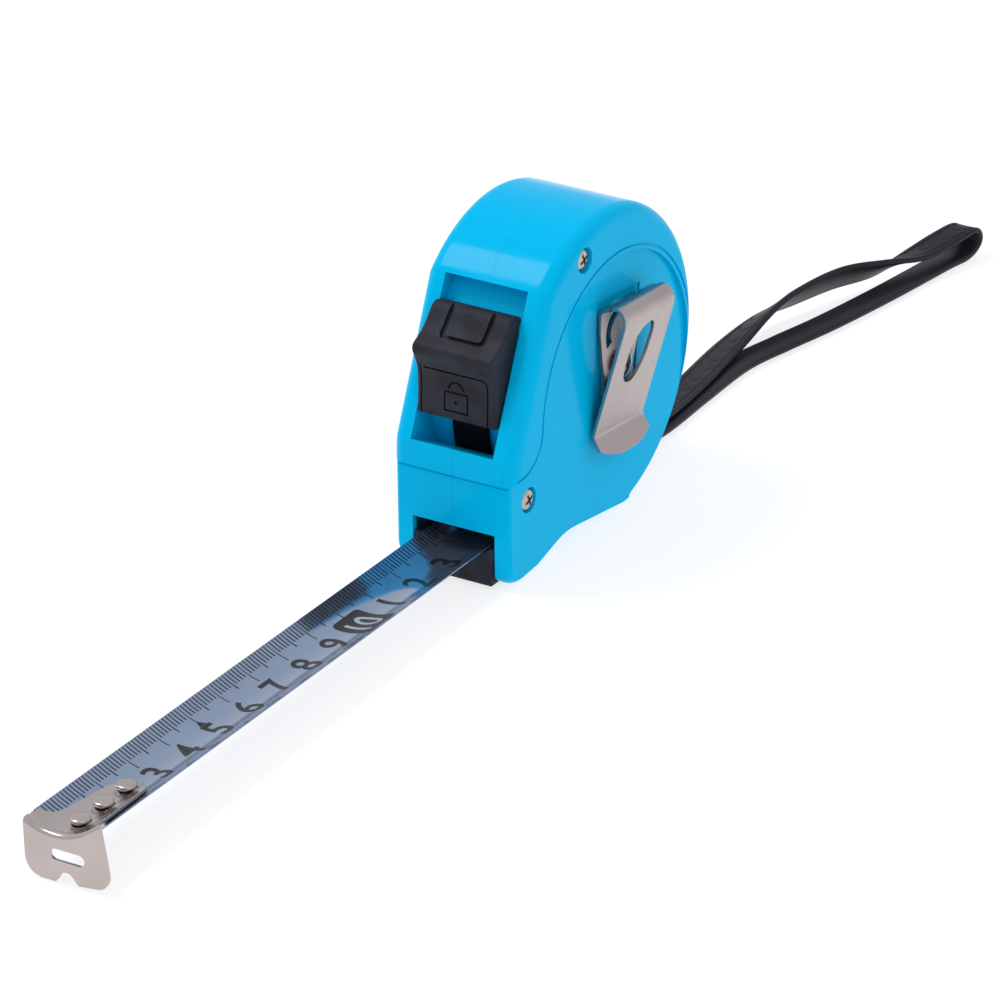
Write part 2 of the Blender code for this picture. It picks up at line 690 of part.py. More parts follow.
def build_clip():
    path = clip_path()
    split = 6
    back = path[:split]
    gap_point = path[split - 1]
    after = path[split]
    step = Vector(after) - Vector(gap_point)
    start = Vector(gap_point) + step.normalized() * (GAP + 0.05)
    leaf_path = [tuple(start)] + path[split:]

    base = strip("belt_clip_base", back, CLIP_HALF)
    leaf = strip("belt_clip_leaf", leaf_path, CLIP_HALF)
    # C-shaped cut-out around the screw, open towards the lower end
    base = cut(base, rod("hole", DRUM_Y, 0, 1.4 + GAP, 10, 16, 16))
    window = arc((CLIP_Y, 7.4), 3.4, 0, 360, 20)[:-1]
    base = cut(base, slab("window", window, 10, 17.5))
    for side in (-1, 1):
        edge = CLIP_Y + side * CLIP_HALF
        waist = [(edge + side, -12), (edge + side, 13.9), (edge, 13.9)]
        waist += [(edge - side * WAIST[0], 12.9), (edge - side * WAIST[0], 8)]
        waist += [(edge - side * WAIST[1], -1.5), (edge - side * WAIST[1], -12)]
        base = cut(base, slab("waist", waist, 11, 18))
    # leaf-shaped slot, wide at the top, that leaves the screw in reach
    shape = [(1.7, -2.9), (3.3, -3.1), (4.8, -2.2), (6.0, -0.6), (6.8, 1.6), (7.2, 4.4), (7.3, 7.2)]
    shape += [(6.9, 8.6), (5.9, 9.7), (4.3, 9.8), (2.7, 9.4), (1.2, 8.3), (-0.3, 6.5)]
    shape += [(-0.8, 4.3), (-0.8, 1.6), (-0.3, -1.1), (0.5, -2.2)]
    leaf = cut(leaf, slab("slot", shape, 14.2, 22.5))
    # the foot ends in a wide arc between two corners
    foot = [(CLIP_Y - CLIP_HALF - 1, FOOT_CORNER_Z), (CLIP_Y - CLIP_HALF - 1, -20)]
    foot += [(CLIP_Y + CLIP_HALF + 1, -20), (CLIP_Y + CLIP_HALF + 1, FOOT_CORNER_Z)]
    spread = math.degrees(math.asin(CLIP_HALF / FOOT_R))
    centre_z = FOOT_CORNER_Z + FOOT_R * math.cos(math.radians(spread))
    foot += arc((CLIP_Y, centre_z), FOOT_R, 270 + spread, 270 - spread, 14)
    leaf = cut(leaf, slab("foot", foot, 13.9, 22))
    for piece in (base, leaf):
        turn_about_x(piece, CLIP_TURN_DEG, DRUM_Y)
    return base, leaf


# ---------------------------------------------------------------- strap

def ground_z(y):
    """Height of the ground in the design frame."""
    return BASE_Z + (y - REAR_CORNER_Y) * math.tan(TILT)


# x, y, height over the ground, roll in degrees
STRAP_ROUTE = (
    (0.0, 19.5, 11.6, 0.0), (0.0, 23.3, 7.8, 0.0), (0.2, 26.6, 4.7, 0.0),
    (0.8, 30.5, 2.3, 0.0), (1.4, 36.5, 1.0, 0.0), (1.6, 44.0, 0.9, 0.0),
    (1.2, 57.3, 0.9, 0.0), (1.2, 74.3, 0.9, 0.0), (4.0, 87.5, 0.9, 0.0),
    (7.3, 100.7, 0.9, 0.0), (10.9, 119.5, 0.9, 0.0), (13.8, 138.3, 0.9, 0.0),
    (15.4, 145.4, 1.1, 0.0), (16.1, 149.1, 2.6, 0.0), (16.0, 149.8, 4.7, 0.0),
    (15.3, 147.2, 6.4, 0.0), (13.5, 141.0, 6.4, 0.0), (11.0, 133.5, 5.5, 12.0),
    (7.1, 124.2, 4.6, 48.0), (2.7, 113.8, 5.0, 62.0), (-0.7, 102.5, 4.7, 56.0),
    (-2.6, 92.2, 4.3, 33.0), (-2.7, 76.2, 2.7, 3.0), (-0.9, 59.2, 2.6, -6.0),
    (0.2, 44.0, 2.6, 0.0), (0.4, 33.6, 3.9, 0.0), (0.2, 28.9, 7.2, 0.0),
    (0.0, 26.1, 10.5, 0.0), (0.0, 22.2, 14.4, 0.0),
)


def catmull(values, i, t):
    """Smooth value between the i-th and the next of a list of equal-length tuples."""
    last = len(values) - 1
    a, b = values[max(i - 1, 0)], values[i]
    c, d = values[min(i + 1, last)], values[min(i + 2, last)]
    return [
        0.5 * (2 * q + (r - p) * t + (2 * p - 5 * q + 4 * r - s) * t * t
               + (3 * q - p - 3 * r + s) * t ** 3)
        for p, q, r, s in zip(a, b, c, d)
    ]


def strap_stations(per_span=3):
    """(point, unit direction, unit vector across) along the strap, in the design frame."""
    values = []
    for i in range(len(STRAP_ROUTE) - 1):
        values += [catmull(STRAP_ROUTE, i, k / per_span) for k in range(per_span)]
    values.append(list(STRAP_ROUTE[-1]))
    points = [Vector((x, y, ground_z(y) + h)) for x, y, h, _ in values]
    stations = []
    for i, point in enumerate(points):
        way = (points[min(i + 1, len(points) - 1)] - points[max(i - 1, 0)]).normalized()
        across = (Vector((1, 0, 0)) - way * way.x).normalized()
        side = Matrix.Rotation(math.radians(values[i][3]), 3, way) @ across
        stations.append((point, way, side))
    return stations


def build_strap():
    """A loft of the strap's flat section along its route."""
    bm = bmesh.new()
    rings = []
    for point, way, side in strap_stations():
        up = way.cross(side)
        ring = []
        for u, v in ((-1, -0.5), (-0.86, -1), (0.86, -1), (1, -0.5), (1, 0.5), (0.86, 1), (-0.86, 1),
                     (-1, 0.5)):
            place = point + side * (u * STRAP_W / 2) + up * (v * STRAP_T / 2)
            ring.append(bm.verts.new(place * MM))
        rings.append(ring)
    for one, two in zip(rings, rings[1:]):
        for k in range(8):
            n = (k + 1) % 8
            bm.faces.new((one[k], one[n], two[n], two[k]))
    bm.faces.new(rings[0])
    bm.faces.new(list(reversed(rings[-1])))
    bmesh.ops.recalc_face_normals(bm, faces=bm.faces)
    return from_bmesh("wrist_strap", bm)


# ---------------------------------------------------------------- assembly

def main():
    blue = material("blue_plastic", (0.0, 0.39, 0.69), 0.22)
    black = material("black_plastic", (0.02, 0.021, 0.027), 0.5)
    rubber = material("black_strap", (0.022, 0.022, 0.03), 0.55)
    steel = material("bright_steel", (0.56, 0.5, 0.48), 0.3, 1.0)
    brushed = material("brushed_steel", (0.42, 0.38, 0.37), 0.35, 1.0)
    tape = material("blade_steel", (0.36, 0.42, 0.55), 0.25, 0.8)
    nylon = material("drum_plastic", (0.1, 0.1, 0.11), 0.5)

    left, right = build_case()
    button, slider, shoe = build_lock()
    straight, feed, coil = build_blade()
    drum, cover, post, spring = build_drum()
    base, leaf = build_clip()
    clip_face = CLIP_POCKET_X + GAP + CLIP_T + GAP
    hub_screw = cross_screw("hub_screw", DRUM_Y, 0, clip_face + 1.6, 4.0, 2.9, 1.4)
    upper = cross_screw("case_screw_upper", *SCREW_UPPER, RIM_HALF - 0.2, -9.0)
    lower = cross_screw("case_screw_lower", *SCREW_LOWER, BODY_HALF - 0.2, -9.0)
    pin = rod("strap_pin", *STRAP_PIN, STRAP_PIN_R, -8.0, 8.0, 16)

    finishes = [
        (left, blue), (right, blue), (build_mouth_guard(), black), (button, black),
        (slider, black), (shoe, rubber), (straight, tape), (feed, tape), (coil, tape),
        (drum, nylon), (cover, nylon), (post, nylon), (spring, brushed), (build_hook(), steel),
        (base, brushed), (leaf, brushed), (hub_screw, steel), (upper, steel), (lower, steel),
        (pin, steel), (build_strap(), rubber),
    ]
    finishes += [(rivet, steel) for rivet in build_rivets()]

    frame = bpy.data.objects.new("tape_frame", None)
    PARTS.objects.link(frame)
    turn = Matrix.Rotation(-TILT, 4, "X")
    lift = turn @ Vector((0, REAR_CORNER_Y * MM, BASE_Z * MM))
    frame.rotation_euler = (-TILT, 0.0, 0.0)
    front = (turn @ Vector((0, (HOOK_Y - HOOK_T) * MM, HOOK_BOTTOM_Z * MM))).y
    middle_y = (front + CASE_R * MM) / 2
    frame.location = (-BODY_CENTRE_X * MM, -middle_y, -lift.z)
    for obj, finish in finishes:
        CUTTERS.objects.unlink(obj)
        PARTS.objects.link(obj)
        obj.data.materials.clear()
        obj.data.materials.append(finish)
        obj.parent = frame
        obj.data.set_sharp_from_angle(angle=math.radians(35))

    pivots = {
        "drum_axis": ((0, DRUM_Y, 0), ("drum", "drum_cover", "blade_coil", "mainspring")),
        "lock_axis": ((0, DRUM_Y, 0), ("lock_button", "lock_slider", "brake_pad")),
        "blade_end": ((0, HOOK_Y, BLADE_EDGE_Z), ("hook_rivet_1", "hook_rivet_2", "hook_rivet_3")),
        "hook_end": ((0, HOOK_Y, BLADE_EDGE_Z), ("end_hook",)),
        "clip_hinge": ((CLIP_HINGE[0], DRUM_Y, CLIP_HINGE[1]), ("belt_clip_leaf",)),
    }
    for name, (place, nodes) in pivots.items():
        pivot = bpy.data.objects.new(name, None)
        PARTS.objects.link(pivot)
        pivot.parent = frame
        pivot.location = [value * MM for value in place]
        for node in nodes:
            obj = bpy.data.objects[node]
            obj.data.transform(Matrix.Translation(pivot.location).inverted())
            obj.parent = pivot


main()
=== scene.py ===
"""Looks for the pocket tape measure: finer case, button, hook, clip, blade and strap."""
import json
import math

import bmesh
import bpy
from mathutils import Matrix, Vector


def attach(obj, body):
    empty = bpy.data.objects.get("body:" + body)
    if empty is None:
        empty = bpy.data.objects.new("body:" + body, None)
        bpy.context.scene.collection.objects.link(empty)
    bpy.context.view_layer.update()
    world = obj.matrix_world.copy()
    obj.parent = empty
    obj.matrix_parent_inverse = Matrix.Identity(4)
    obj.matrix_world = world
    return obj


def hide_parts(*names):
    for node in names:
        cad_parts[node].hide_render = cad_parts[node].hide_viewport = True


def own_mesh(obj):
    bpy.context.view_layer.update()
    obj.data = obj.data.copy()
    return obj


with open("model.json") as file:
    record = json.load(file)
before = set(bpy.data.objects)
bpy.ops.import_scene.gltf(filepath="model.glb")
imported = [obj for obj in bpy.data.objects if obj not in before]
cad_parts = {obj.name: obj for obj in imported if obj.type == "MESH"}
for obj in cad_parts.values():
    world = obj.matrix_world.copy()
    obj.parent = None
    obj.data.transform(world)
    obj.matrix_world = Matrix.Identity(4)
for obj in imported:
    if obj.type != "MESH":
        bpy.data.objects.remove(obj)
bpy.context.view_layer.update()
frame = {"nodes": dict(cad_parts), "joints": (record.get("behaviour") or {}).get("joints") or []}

NODES = frame["nodes"]
JOINTS = {joint["name"]: joint for joint in frame["joints"]}

# The design frame: origin at the middle of the case's round back, millimetres, -Y along the blade
DRUM_Y = 4.0
TAPE_Y = Vector(JOINTS["blade_slide"]["axis"]).normalized()
TAPE_X = Vector((1.0, 0.0, 0.0))
TAPE_Z = TAPE_X.cross(TAPE_Y)
TURN = Matrix((TAPE_X, TAPE_Y, TAPE_Z)).transposed()
ORIGIN = Vector(JOINTS["drum_spin"]["pos_m"]) - TAPE_Y * DRUM_Y * 0.001
TO_WORLD = Matrix.Translation(ORIGIN) @ TURN.to_4x4() @ Matrix.Scale(0.001, 4)

CASE_R = 33.5
RIM_HALF = 14.0
BODY_HALF = 13.1
EDGE_R = 3.0
NOSE_Y = -36.6
STEP_Z = -11.3
BASE_Z = -33.2
REAR_CORNER_Y = 8.0
DISC = (3.3, -4.7, 27.6)
DISC_FILLET = 9.0
NOSE_STEP = 0.4
CREASE = 0.6
RIM_GROOVE = (0.7, 1.25)
RIM_GROOVE_DEPTH = 0.35
SIDE_WALL = 2.4
RIM_WALL = 1.8
WINDOW_WALL = 1.3
SEAM_HALF = 0.016
BEYOND = 60.0
WINDOW_LOW = (-35.9, -6.0)
WINDOW_HIGH = (-22.9, 24.6)
WINDOW_HALF = 9.4
FLOOR_R = 32.6
BUTTON_HALF = 9.1
SLIDER_R = (32.9, 34.1)
BLADE_EDGE_Z = -25.6
BLADE_HALF = 7.45
BLADE_SAG = 2.3
BLADE_T = 0.2
CUP_R = (BLADE_HALF ** 2 + BLADE_SAG ** 2) / (2 * BLADE_SAG)
CUP_AXIS_Z = BLADE_EDGE_Z + CUP_R - BLADE_SAG
HOOK_Y = -172.0
BLADE_END_Y = -33.0
MOUTH_TOP_Z = -22.4
TAILS = (-0.7, 3.7)
TAILS_Z = -29.5
SCREWS = {"case_screw_upper": (-9.0, 26.9, 13.8), "case_screw_lower": (-29.2, -16.6, 13.2)}
SCREW_SEAT_R = 2.65
SCREW_SEAT_DEPTH = 1.3
CLIP_Y = 3.9
CLIP_HALF = 9.4
CLIP_TURN_DEG = -5.0
STRAP_W = 6.2
STRAP_T = 1.3


# ---------------------------------------------------------------- materials

def node(tree, kind, **inputs):
    made = tree.nodes.new(kind)
    for name, value in inputs.items():
        made.inputs[name.replace("_", " ")].default_value = value
    return made


def finish(name, colour, roughness, metallic=0.0, grain=2500.0, bump=0.05, tint=0.06,
           rough_swing=0.08, stretch=(1, 1, 1), **sockets):
    """A Principled material with fine grain in colour, roughness and bump."""
    made = bpy.data.materials.new(name)
    made.use_nodes = True
    tree = made.node_tree
    shader = tree.nodes["Principled BSDF"]
    shader.inputs["Metallic"].default_value = metallic
    for key, value in sockets.items():
        shader.inputs[key.replace("_", " ")].default_value = value
    place = tree.nodes.new("ShaderNodeTexCoord")
    scale = tree.nodes.new("ShaderNodeMapping")
    scale.inputs["Scale"].default_value = stretch
    tree.links.new(place.outputs["Object"], scale.inputs["Vector"])
    fine = node(tree, "ShaderNodeTexNoise", Scale=grain, Detail=4.0, Roughness=0.6)
    broad = node(tree, "ShaderNodeTexNoise", Scale=grain * 0.04, Detail=3.0)
    for noise in (fine, broad):
        tree.links.new(scale.outputs["Vector"], noise.inputs["Vector"])
    ramp = tree.nodes.new("ShaderNodeValToRGB")
    for element, share in zip(ramp.color_ramp.elements, (1 - tint, 1 + tint)):
        element.color = (*[min(1.0, c * share) for c in colour], 1.0)
    ramp.color_ramp.elements[0].position = 0.35
    ramp.color_ramp.elements[1].position = 0.65
    tree.links.new(broad.outputs["Fac"], ramp.inputs["Fac"])
    tree.links.new(ramp.outputs["Color"], shader.inputs["Base Color"])
    rough = node(tree, "ShaderNodeMapRange")
    rough.inputs["To Min"].default_value = max(0.02, roughness - rough_swing)
    rough.inputs["To Max"].default_value = roughness + rough_swing
    tree.links.new(fine.outputs["Fac"], rough.inputs["Value"])
    tree.links.new(rough.outputs["Result"], shader.inputs["Roughness"])
    relief = tree.nodes.new("ShaderNodeBump")
    relief.inputs["Strength"].default_value = bump
    relief.inputs["Distance"].default_value = 0.0002
    tree.links.new(fine.outputs["Fac"], relief.inputs["Height"])
    tree.links.new(relief.outputs["Normal"], shader.inputs["Normal"])
    return made


BLUE = finish("blue_gloss", (0.0, 0.45, 0.78), 0.10, grain=900, bump=0.015, tint=0.012,
              rough_swing=0.02, Specular_IOR_Level=0.04)
BLACK = finish("black_moulded", (0.016, 0.017, 0.026), 0.5, grain=5200, bump=0.4, tint=0.3,
               Specular_IOR_Level=0.18)
# the lock slider's black plastic, made much darker and less glossy than the button's: painted shade
# for its place inside the case
SHADED_BLACK = finish("black_painted_shade", (0.003, 0.004, 0.006), 0.6, grain=3000, bump=0.2, tint=0.2,
               Specular_IOR_Level=0.05)
STRAP = finish("strap_black", (0.011, 0.011, 0.017), 0.42, grain=1800, bump=0.12, tint=0.2,
               Specular_IOR_Level=0.22)
NICKEL = finish("nickel_plate", (0.49, 0.428, 0.41), 0.22, 1.0, grain=2600, bump=0.05, tint=0.04)
CLIP_STEEL = finish("clip_steel", (0.43, 0.37, 0.365), 0.30, 1.0, grain=4200, bump=0.10,
                    tint=0.04)
BLADE = finish("blade_coated", (0.27, 0.34, 0.47), 0.13, 0.85, grain=1500, bump=0.01, tint=0.03,
               rough_swing=0.03, Coat_Weight=0.3, Coat_Roughness=0.04)
INK = finish("scale_ink", (0.008, 0.009, 0.012), 0.35, grain=3000, bump=0.02, tint=0.1,
             Specular_IOR_Level=0.3)
PALE_INK = finish("scale_pale", (0.36, 0.40, 0.48), 0.3, 0.4, grain=3000, bump=0.02, tint=0.03)
STEEL = finish("spring_steel", (0.45, 0.44, 0.44), 0.3, 1.0, grain=2000, bump=0.03)
NYLON = finish("drum_nylon", (0.03, 0.03, 0.035), 0.55, grain=2600, bump=0.1, tint=0.1)


# ---------------------------------------------------------------- mesh tools, in millimetres

def link(name, mesh):
    obj = bpy.data.objects.new(name, mesh)
    bpy.context.scene.collection.objects.link(obj)
    return obj


def from_bmesh(name, bm, face_out=True):
    if face_out:
        bmesh.ops.recalc_face_normals(bm, faces=bm.faces)
    mesh = bpy.data.meshes.new(name)
    bm.to_mesh(mesh)
    bm.free()
    return link(name, mesh)


def baked(obj):
    """Replace an object's mesh by what its modifiers make of it."""
    bpy.context.view_layer.update()
    depsgraph = bpy.context.evaluated_depsgraph_get()
    mesh = bpy.data.meshes.new_from_object(obj.evaluated_get(depsgraph))
    obj.modifiers.clear()
    bm = bmesh.new()
    bm.from_mesh(mesh)
    bmesh.ops.remove_doubles(bm, verts=bm.verts, dist=0.0015)
    bmesh.ops.dissolve_degenerate(bm, edges=bm.edges, dist=0.0008)
    bm.to_mesh(mesh)
    bm.free()
    obj.data = mesh
    return obj


def cut(obj, *tools):
    """Take the tools' volumes out of an object."""
    for tool in tools:
        step = obj.modifiers.new("cut", "BOOLEAN")
        step.operation = "DIFFERENCE"
        step.object = tool
        baked(obj)
        bpy.data.objects.remove(tool, do_unlink=True)
    return obj


def rounded(obj, width, segments=2, angle=35.0):
    """Round the convex edges; the inner corners stay crisp."""
    bm = bmesh.new()
    bm.from_mesh(obj.data)
    weight = bm.edges.layers.float.new("bevel_weight_edge")
    for edge in bm.edges:
        sharp = edge.is_manifold and edge.calc_face_angle_signed() > math.radians(angle)
        edge[weight] = 1.0 if sharp else 0.0
    bm.to_mesh(obj.data)
    bm.free()
    bevel = obj.modifiers.new("round", "BEVEL")
    bevel.width = width
    bevel.segments = segments
    bevel.limit_method = "WEIGHT"
    return baked(obj)


def arc(centre, radius, start, end, steps):
    turns = [math.radians(start + (end - start) * i / steps) for i in range(steps + 1)]
    return [(centre[0] + radius * math.cos(a), centre[1] + radius * math.sin(a)) for a in turns]


PLACES = {"X": lambda u, v, w: (w, u, v), "Y": lambda u, v, w: (u, w, v),
          "Z": lambda u, v, w: (u, v, w)}


def slab(name, outline, low, high, normal="X"):
    """A flat outline with thickness along an axis; outline is (y, z), (x, z) or (x, y)."""
    place = PLACES[normal]
    bm = bmesh.new()
    rings = [[bm.verts.new(place(u, v, w)) for u, v in outline] for w in (low, high)]
    count = len(outline)
    for k in range(count):
        n = (k + 1) % count
        bm.faces.new((rings[0][k], rings[0][n], rings[1][n], rings[1][k]))
    bm.faces.new(rings[0])
    bm.faces.new(list(reversed(rings[1])))
    return from_bmesh(name, bm)


def block(name, low, high):
    outline = [(low[1], low[2]), (high[1], low[2]), (high[1], high[2]), (low[1], high[2])]
    return slab(name, outline, low[0], high[0])


def rod(name, y, z, radius, low, high, sides=48):
    return slab(name, arc((y, z), radius, 0, 360, sides)[:-1], low, high)


def turned(name, profile, centre, axis="X", steps=64):
    """A profile of (radius, along) turned about an axis through centre."""
    bm = bmesh.new()
    rings = []
    for r, h in profile:
        if r == 0.0:
            rings.append([bm.verts.new((0, 0, h))] * steps)
        else:
            rings.append([bm.verts.new((r * math.cos(2 * math.pi * k / steps),
                                        r * math.sin(2 * math.pi * k / steps), h))
                          for k in range(steps)])
    for one, two in zip(rings, rings[1:]):
        for k in range(steps):
            n = (k + 1) % steps
            corners = []
            for vert in (one[k], one[n], two[n], two[k]):
                if vert not in corners:
                    corners.append(vert)
            if len(corners) > 2:
                bm.faces.new(corners)
    if axis == "X":
        bmesh.ops.rotate(bm, cent=(0, 0, 0), matrix=Matrix.Rotation(math.pi / 2, 3, "Y"),
                         verts=bm.verts)
    bmesh.ops.translate(bm, vec=centre, verts=bm.verts)
    return from_bmesh(name, bm)


def sheet(name, rows, thickness, offset=0.0):
    """A surface through rows of points, given thickness."""
    bm = bmesh.new()
    verts = [[bm.verts.new(point) for point in row] for row in rows]
    for one, two in zip(verts, verts[1:]):
        for j in range(len(one) - 1):
            bm.faces.new((one[j], one[j + 1], two[j + 1], two[j]))
    obj = from_bmesh(name, bm, False)
    solid = obj.modifiers.new("thickness", "SOLIDIFY")
    solid.thickness = thickness
    solid.offset = offset
    solid.use_even_offset = True
    baked(obj)
    bm = bmesh.new()
    bm.from_mesh(obj.data)
    bmesh.ops.recalc_face_normals(bm, faces=bm.faces)
    bm.to_mesh(obj.data)
    bm.free()
    return obj


def smooth_path(points, rounding, steps=6):
    """A polyline whose inner corners are replaced by short arcs."""
    line = [points[0]]
    for i in range(1, len(points) - 1):
        a, b, c = Vector(points[i - 1]), Vector(points[i]), Vector(points[i + 1])
        reach = min(rounding, (a - b).length * 0.45, (c - b).length * 0.45)
        start = b + (a - b).normalized() * reach
        end = b + (c - b).normalized() * reach
        for k in range(steps + 1):
            t = k / steps
            line.append(tuple((1 - t) ** 2 * start + 2 * t * (1 - t) * b + t * t * end))
    return line + [points[-1]]


def turn_about_x(obj, degrees, y):
    about = Matrix.Translation((0, y, 0))
    obj.data.transform(about @ Matrix.Rotation(math.radians(degrees), 4, "X") @ about.inverted())
    return obj


def settle(obj, body, look, slot, *replaced, smooth=35.0, weighted=False):
    """Take a piece from the design frame into the world and tie it to its body."""
    obj.data.transform(TO_WORLD)
    obj.data.materials.clear()
    obj.data.materials.append(look)
    obj.data.shade_smooth()
    obj.data.set_sharp_from_angle(angle=math.radians(smooth))
    if weighted:
        flat_faces = obj.modifiers.new("flat_faces", "WEIGHTED_NORMAL")
        flat_faces.keep_sharp = True
        flat_faces.weight = 90
    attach(obj, body)
    if replaced:
        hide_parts(*replaced)
    return obj


# ---------------------------------------------------------------- camera

CAMERA_AT = (616.32, -1012.12, 544.4)
CAMERA_AZ_EL_ROLL_DEG = (31.819, 25.936, -0.646)
CAMERA_LENS = 236.98


def make_camera():
    """Long lens from the front right, as the object is seen."""
    az, el, roll = (math.radians(v) for v in CAMERA_AZ_EL_ROLL_DEG)
    back = Vector((math.sin(az) * math.cos(el), -math.cos(az) * math.cos(el), math.sin(el)))
    right = Vector((math.cos(az), math.sin(az), 0.0))
    up = back.cross(right)
    side = right * math.cos(roll) + up * math.sin(roll)
    top = up * math.cos(roll) - right * math.sin(roll)
    turn = TURN @ Matrix((side, top, back)).transposed()
    camera = bpy.data.objects.new("camera", bpy.data.cameras.new("camera"))
    bpy.context.scene.collection.objects.link(camera)
    place = TO_WORLD @ Vector(CAMERA_AT)
    camera.matrix_world = Matrix.Translation(place) @ turn.to_4x4()
    camera.data.lens = CAMERA_LENS
    camera.data.sensor_width = 36.0
    camera.data.clip_end = 20.0
    bpy.context.scene.camera = camera


# ---------------------------------------------------------------- strap

# x, y, height above the ground, and the turn about the route in degrees
STRAP_ROUTE = (
    (0.0, 19.5, 11.6, 0.0), (0.0, 23.3, 7.8, 0.0), (0.2, 26.6, 4.7, 0.0),
    (0.8, 30.5, 2.3, 0.0), (1.4, 36.5, 1.0, 0.0), (1.6, 44.0, 0.9, 0.0),
    (1.2, 57.3, 0.9, 0.0), (1.2, 74.3, 0.9, 0.0), (4.0, 87.5, 0.9, 0.0),
    (7.3, 100.7, 0.9, 0.0), (10.9, 119.5, 0.9, 0.0), (13.8, 138.3, 0.9, 0.0),
    (15.2, 145.0, 1.1, 0.0), (15.8, 148.5, 2.6, 0.0), (15.8, 149.2, 4.7, 0.0),
    (15.3, 147.2, 6.2, 0.0), (13.6, 141.0, 5.6, -4.0), (11.2, 133.5, 4.6, 6.0),
    (7.3, 124.2, 4.3, 46.0), (2.7, 113.8, 5.0, 62.0), (-0.7, 102.5, 4.7, 56.0),
    (-2.6, 92.2, 4.3, 33.0), (-2.7, 76.2, 2.7, 3.0), (-0.9, 59.2, 2.6, -6.0),
    (0.2, 44.0, 2.6, 0.0), (0.4, 33.6, 3.9, 0.0), (0.2, 28.9, 7.2, 0.0),
    (0.0, 26.1, 10.5, 0.0), (0.0, 22.2, 14.4, 0.0),
)


CHEVRON_PITCH = 5.0
CHEVRON_SLANT = 0.9
CHEVRON_HALF = 0.13
CHEVRON_DEPTH = 0.22


def ground_z(y):
    """The height of the ground under y; the design frame is tipped a little against it."""
    slope = -TAPE_Y.z / TAPE_Y.y
    return BASE_Z + (y - REAR_CORNER_Y) * slope


def catmull(values, i, t):
    """A Catmull-Rom curve through rows of values, t of the way from row i to the next."""
    last = len(values) - 1
    a, b = values[max(i - 1, 0)], values[i]
    c, d = values[min(i + 1, last)], values[min(i + 2, last)]
    return [0.5 * (2 * q + (r - p) * t + (2 * p - 5 * q + 4 * r - s) * t * t
                   + (3 * q - p - 3 * r + s) * t ** 3) for p, q, r, s in zip(a, b, c, d)]


def build_strap(per_span=26):
    values = []
    for i in range(len(STRAP_ROUTE) - 1):
        values += [catmull(STRAP_ROUTE, i, k / per_span) for k in range(per_span)]
    values.append(list(STRAP_ROUTE[-1]))
    points = [Vector((x, y, ground_z(y) + h)) for x, y, h, _ in values]
    # the loop's inner face has chevrons and a border beside two grooves; the outer one is smooth
    half_t = STRAP_T / 2
    border = [(-1.0, -0.35), (-0.95, -0.8), (-0.88, -1.0), (0.0, -1.0), (0.88, -1.0),
              (0.95, -0.8), (1.0, -0.35), (1.0, 0.4), (0.95, 0.85), (0.88, 1.0), (0.70, 1.0),
              (0.66, 0.72), (0.58, 0.72), (0.54, 0.95)]
    middle = [u / 10 for u in (4.5, 3.6, 2.7, 1.8, 0.9, 0, -0.9, -1.8, -2.7, -3.6, -4.5)]
    other = [(-u, v) for u, v in reversed(border[7:])]
    bm = bmesh.new()
    rings = []
    run = 0.0
    for i, point in enumerate(points):
        way = (points[min(i + 1, len(points) - 1)] - points[max(i - 1, 0)]).normalized()
        across = (Vector((1, 0, 0)) - way * way.x).normalized()
        side = Matrix.Rotation(math.radians(values[i][3]), 3, way) @ across
        out = side.cross(way)
        run += (point - points[max(i - 1, 0)]).length
        section = list(border)
        for u in middle:
            beat = (run / CHEVRON_PITCH + abs(u) * CHEVRON_SLANT) % 1.0
            groove = max(0.0, 1 - abs(beat - 0.5) / CHEVRON_HALF)
            section.append((u, 0.95 - CHEVRON_DEPTH * groove))
        section += other
        rings.append([bm.verts.new(point + side * (u * STRAP_W / 2) - out * (v * half_t))
                      for u, v in section])
    count = len(rings[0])
    for one, two in zip(rings, rings[1:]):
        for k in range(count):
            n = (k + 1) % count
            bm.faces.new((one[k], one[n], two[n], two[k]))
    bm.faces.new(rings[0])
    bm.faces.new(list(reversed(rings[-1])))
    strap = from_bmesh("strap_loop", bm)
    settle(strap, "case", STRAP, "black_strap", "wrist_strap", smooth=40)


# ---------------------------------------------------------------- case

def case_outline(inset=0.0):
    """The side view of the case: nose, window slope, round back, corner and wavy base."""
    radius = CASE_R - inset
    front = NOSE_Y + inset
    base = BASE_Z + inset
    slope = math.atan2(WINDOW_HIGH[1] - WINDOW_LOW[1], WINDOW_HIGH[0] - WINDOW_LOW[0])
    normal = (-math.sin(slope), math.cos(slope))
    low = (WINDOW_LOW[0] - normal[0] * inset, WINDOW_LOW[1] - normal[1] * inset - 0.5 * inset)
    rear_deg = math.degrees(math.asin((base + 1.2) / radius))
    line = arc((front + 3.6, base + 3.6), 3.6, 270, 180, 8)
    line += [(front, STEP_Z - 0.2), (front, low[1] - 2.0), (front + 0.25, low[1] + 0.6)]
    high_deg = math.degrees(math.atan2(WINDOW_HIGH[1], WINDOW_HIGH[0]))
    line += arc((0, 0), radius, high_deg, rear_deg, 110)
    line += [(REAR_CORNER_Y - 0.3 * inset + 1.0, base + 0.35),
             (REAR_CORNER_Y - 0.3 * inset - 0.6, base + 0.2)]
    line += [(-12.0, base + 2.85), (-14.5, base + 3.0), (-17.0, base + 2.8), (-20.0, base + 2.1),
             (-26.0, base + 0.5)]
    return line


